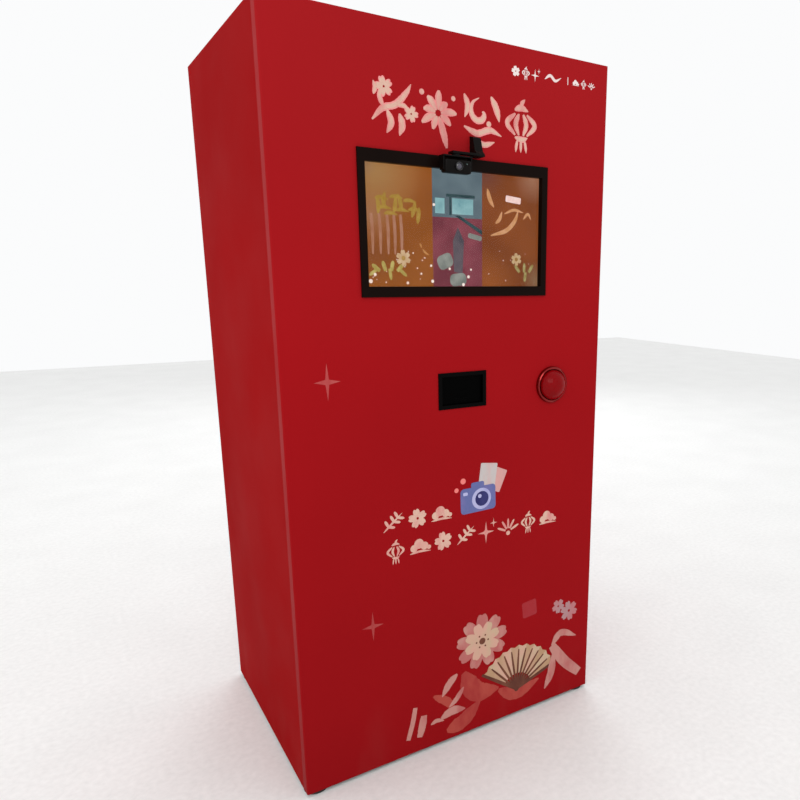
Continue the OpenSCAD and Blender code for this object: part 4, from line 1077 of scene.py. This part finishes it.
# ---- Lock -----------------------------------------------------------------------------
# A quarter-turn cam lock in die-cast zinc, set in a hole in the door. The lever outside turns the
# cam inside, which catches behind the frame.
wear("lock_barrel", finish("cast_zinc", (0.42, 0.43, 0.45), 0.36, metal=1.0, bump=0.12), 0.0008, 3)
wear("lock_handle", finish("lever_zinc", (0.46, 0.47, 0.49), 0.30, metal=1.0, bump=0.1), 0.0014, 3)


# ---- Mains inlet ----------------------------------------------------------------------
# A moulded black appliance inlet with plated blades, beside a black rocker switch. It fills a
# cut-out in the rear frame, where two screws hold it.
wear("mains_inlet", finish("inlet_black", (0.016, 0.016, 0.017), 0.42, bump=0.12), 0.0006)
wear("power_rocker", finish("rocker_black", (0.010, 0.010, 0.011), 0.30, coat=0.3, bump=0.05), 0.0006, 3)
inlet_low, inlet_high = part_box("mains_inlet")
inlet_z = (inlet_low.z + inlet_high.z) / 2
inlet_ears = (inlet_low.x + 0.0045, inlet_high.x - 0.0045)
add_screws("inlet_screws", "cabinet", [(x, inlet_high.y - 0.0001, inlet_z) for x in inlet_ears],
           0.0029, 0.0016)


# A rubber grommet lines the round hole beside the inlet.
rubber = finish("rubber", (0.018, 0.018, 0.018), 0.8, bump=0.3, size=500.0)
grommet_profile = [(0.0118, -0.0046), (0.0150, -0.0046), (0.0155, -0.0036), (0.0150, -0.0026),
                   (0.0122, -0.0024), (0.0122, 0.0003), (0.0150, 0.0005), (0.0157, 0.0014),
                   (0.0150, 0.0024), (0.0118, 0.0024), (0.0114, -0.0011), (0.0118, -0.0046)]
add_shape("cable_grommet", lathe(grommet_profile, (-0.250, REAR, inlet_z), REARWARD, 40), 0.9,
          "cabinet", rubber)


# ---- Frame and feet ------------------------------------------------------------------
# The base frame, uprights and rails are square steel tube, welded and painted black. They stand
# on four screw-in levelling feet coated in black rubber, each with its locking nut.
frame_paint = finish("frame_paint", (0.020, 0.020, 0.022), 0.5, bump=0.2, size=300.0)
for part_name in ("base_frame", "uprights", "top_rails", "shelf_rails"):
    wear(part_name, frame_paint, 0.0012)
wear("levelling_feet", rubber, 0.0006)
wear("foot_lock_nuts", zinc, 0.0006)


# ---- Floor pan and shelves ---------------------------------------------------------------
# Folded steel sheet with the flaky bloom of hot-dip zinc. The pan closes the bottom, and two
# shelves on rails carry the printer and the computer.
spangle, spangle_tree, spangle_shader = new_finish("galvanised", 0.42, metal=0.9)
flakes = node(spangle_tree, "ShaderNodeTexVoronoi", Scale=55.0)
spangle_tree.links.new(place_of(spangle_tree), flakes.inputs["Vector"])
spangle_tone = ramp(spangle_tree, flakes.outputs["Color"], [(0.1, (0.36, 0.37, 0.38)),
                                                            (0.9, (0.56, 0.57, 0.58))])
spangle_tree.links.new(spangle_tone, spangle_shader.inputs["Base Color"])
spangle_tree.links.new(remap(spangle_tree, flakes.outputs["Color"], 0.0, 1.0, 0.34, 0.52),
                       spangle_shader.inputs["Roughness"])
grain(spangle_tree, spangle_shader, cloud(spangle_tree, 250.0), 0.08, 0.0003)
for part_name in ("floor_pan", "printer_shelf", "computer_shelf"):
    wear(part_name, spangle, 0.0004)


# ---- Roll printer -------------------------------------------------------------------------
# An open-frame roll printer: folded steel cheeks carry the paper roll, platen, head and cutter,
# and a smoked lid closes over the roll.
printer_steel = finish("printer_steel", (0.58, 0.59, 0.60), 0.34, metal=0.95, stretch=(1, 1, 6),
                       mottle=0.06)
wear("printer_chassis", printer_steel, 0.0004)
wear("print_head", finish("head_alloy", (0.62, 0.63, 0.64), 0.36, metal=0.9), 0.0004)
wear("cutter_housing", finish("cutter_black", (0.030, 0.032, 0.035), 0.44, bump=0.15), 0.0007)
wear("cutter_blade", finish("blade_steel", (0.62, 0.63, 0.65), 0.20, metal=1.0, stretch=(8, 1, 1)), 0.0002)
wear("printer_motor", finish("motor_steel", (0.38, 0.39, 0.40), 0.36, metal=0.9), 0.0008)
nylon = finish("nylon", (0.66, 0.63, 0.55), 0.45, bump=0.08)
wear("motor_pinion", nylon, 0.0001)
wear("platen_gear", nylon, 0.0001)
wear("platen_roller", finish("roller_rubber", (0.028, 0.028, 0.030), 0.62, bump=0.1), 0.0004)
wear("roll_spindle", finish("spindle_grey", (0.05, 0.055, 0.06), 0.42), 0.0006)
wear("printer_lid", finish("lid_grey", (0.034, 0.037, 0.041), 0.30, coat=0.3, bump=0.08), 0.0012, 3)
wear("lid_pin", zinc, 0.0002)

# The roll's end faces show the wound layers of paper, and a strip runs on to the platen.
paper, paper_tree, paper_shader = new_finish("paper_white", 0.6)
roll_low, roll_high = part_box("paper_roll")
ROLL = (roll_low + roll_high) / 2
off_axis = node(paper_tree, "ShaderNodeVectorMath", operation="SUBTRACT")
paper_tree.links.new(place_of(paper_tree), off_axis.inputs[0])
off_axis.inputs[1].default_value = (0.0, ROLL.y, ROLL.z)
across = node(paper_tree, "ShaderNodeVectorMath", operation="MULTIPLY")
across.inputs[1].default_value = (0.0, 1.0, 1.0)
paper_tree.links.new(off_axis.outputs[0], across.inputs[0])
wound = node(paper_tree, "ShaderNodeVectorMath", operation="LENGTH")
paper_tree.links.new(across.outputs[0], wound.inputs[0])
turns = node(paper_tree, "ShaderNodeMath", operation="MULTIPLY")
paper_tree.links.new(wound.outputs["Value"], turns.inputs[0])
turns.inputs[1].default_value = 5200.0
wave = node(paper_tree, "ShaderNodeMath", operation="SINE")
paper_tree.links.new(turns.outputs[0], wave.inputs[0])
paper_tone = ramp(paper_tree, remap(paper_tree, wave.outputs[0], -1, 1, 0, 1), [(0.2, (0.66, 0.65, 0.62)),
                                                                                (0.8, (0.80, 0.79, 0.76))])
paper_tree.links.new(paper_tone, paper_shader.inputs["Base Color"])
grain(paper_tree, paper_shader, cloud(paper_tree, 500.0), 0.05, 0.0002)
wear("paper_roll", paper, 0.0004)

platen_low, platen_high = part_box("platen_roller")
PLATEN = (platen_low + platen_high) / 2
STRIP_HALF = 0.0385
strip_line = smooth_line([Vector((ROLL.y - 0.030, ROLL.z - 0.0381)),
                          Vector((ROLL.y - 0.062, PLATEN.z - 0.020)),
                          Vector((PLATEN.y + 0.010, PLATEN.z - 0.0105)),
                          Vector((PLATEN.y, PLATEN.z - 0.0084)),
                          Vector((PLATEN.y - 0.0068, PLATEN.z - 0.0052))], 6)
strip_shape = bmesh.new()
left_edge, right_edge = [[strip_shape.verts.new((x, p.x, p.y)) for p in strip_line]
                         for x in (ROLL.x - STRIP_HALF, ROLL.x + STRIP_HALF)]
for k in range(len(strip_line) - 1):
    strip_shape.faces.new((left_edge[k], right_edge[k], right_edge[k + 1], left_edge[k + 1]))
strip = add_shape("paper_strip", strip_shape, 1.2, "cabinet",
                  finish("strip_paper", (0.78, 0.77, 0.74), 0.55, mottle=0.03, bump=0.05))
strip_sheet = strip.modifiers.new("sheet", "SOLIDIFY")
strip_sheet.thickness = 0.0002
strip_sheet.offset = 0


# ---- Computer and power supply -----------------------------------------------------------
# A finned aluminium mini computer with its sockets at the rear, and an enclosed mains supply with
# punched vents and a row of screw terminals.
alloy = finish("black_alloy", (0.024, 0.026, 0.030), 0.42, metal=0.7, stretch=(1, 4, 1))
wear("computer", alloy, 0.0008)
wear("power_supply", finish("supply_steel", (0.48, 0.49, 0.50), 0.40, metal=0.9, mottle=0.1), 0.0005)
pc_low, pc_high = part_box("computer")
ports = bmesh.new()
for x, width, height in ((0.030, 0.014, 0.013), (0.052, 0.012, 0.0055), (0.072, 0.016, 0.007),
                         (0.120, 0.015, 0.006)):
    rounded_box(ports, (pc_low.x + x, pc_high.y - 0.0004, pc_low.z + 0.016),
                (pc_low.x + x + width, pc_high.y + 0.0008, pc_low.z + 0.016 + height), 0.0004, 2)
add_shape("computer_sockets", ports, None, "cabinet",
          finish("socket_shell", (0.50, 0.50, 0.52), 0.3, metal=1.0))
supply_low, supply_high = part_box("power_supply")
terminals = bmesh.new()
rounded_box(terminals, (supply_low.x + 0.012, supply_high.y - 0.0002, supply_low.z + 0.012),
            (supply_low.x + 0.042, supply_high.y + 0.009, supply_low.z + 0.024), 0.0008, 2)
rounded_box(terminals, (supply_low.x + 0.068, supply_high.y - 0.0002, supply_low.z + 0.012),
            (supply_high.x - 0.012, supply_high.y + 0.009, supply_low.z + 0.024), 0.0008, 2)
add_shape("supply_terminals", terminals, None, "cabinet", black_plastic)
add_screws("terminal_screws", "cabinet",
           [(supply_low.x + 0.018 + 0.009 * k, supply_high.y + 0.0045, supply_low.z + 0.0239)
            for k in (0, 1, 2, 6, 7, 8)], 0.0028, 0.0016, (0, 0, 1))


# ---- Internal leads -------------------------------------------------------------------------
# Three leads in soft black jackets: one to the display, one to the printer and one from the mains
# inlet. They are tied along the frame and turn its corners in wide bends.
def routed(route, reach, steps=8):
    points = [Vector(p) for p in route]
    line = [points[0]]
    for a, b, c in zip(points, points[1:], points[2:]):
        start = b - (b - a).normalized() * reach
        end = b + (c - b).normalized() * reach
        line += [start * (1 - t) ** 2 + b * (2 * t * (1 - t)) + end * t * t
                 for t in (i / steps for i in range(steps + 1))]
    return line + [points[-1]]


lead_z = pc_low.z + 0.030
socket_y = FACE + 0.3905                # where the leads leave the computer
run_y = FACE + 0.630                    # the bundle along the rear frame
inner_y = run_y - 0.016
bed_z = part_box("printer_shelf")[1].z
leads = bmesh.new()
display_lead = [(-0.100, socket_y, lead_z), (-0.100, run_y, lead_z), (-0.380, run_y, lead_z),
                (-0.380, run_y, 1.440), (-0.380, FACE + 0.090, 1.440), (-0.100, FACE + 0.090, 1.440),
                (-0.100, FACE + 0.0582, 1.440)]
tube(leads, routed(display_lead, 0.024), 0.0029, 14)
printer_lead = [(-0.140, socket_y, lead_z), (-0.140, inner_y, lead_z), (-0.364, inner_y, lead_z),
                (-0.364, inner_y, bed_z + 0.030), (-0.364, FACE + 0.520, bed_z + 0.030),
                (-0.364, FACE + 0.440, bed_z + 0.004), (-0.364, FACE + 0.240, bed_z + 0.004),
                (-0.0663, FACE + 0.240, bed_z + 0.004)]
tube(leads, routed(printer_lead, 0.020), 0.0024, 14)
mains_lead = [(-0.330, REAR - 0.0242, inlet_z), (-0.330, REAR - 0.060, inlet_z),
              (-0.245, REAR - 0.060, inlet_z), (-0.245, FACE + 0.5452, inlet_z)]
tube(leads, routed(mains_lead, 0.024), 0.0039, 16)
lead_set = add_shape("lead_set", leads, 1.0, "cabinet",
                     finish("lead_jacket", (0.014, 0.014, 0.015), 0.5, bump=0.1))
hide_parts("internal_leads")
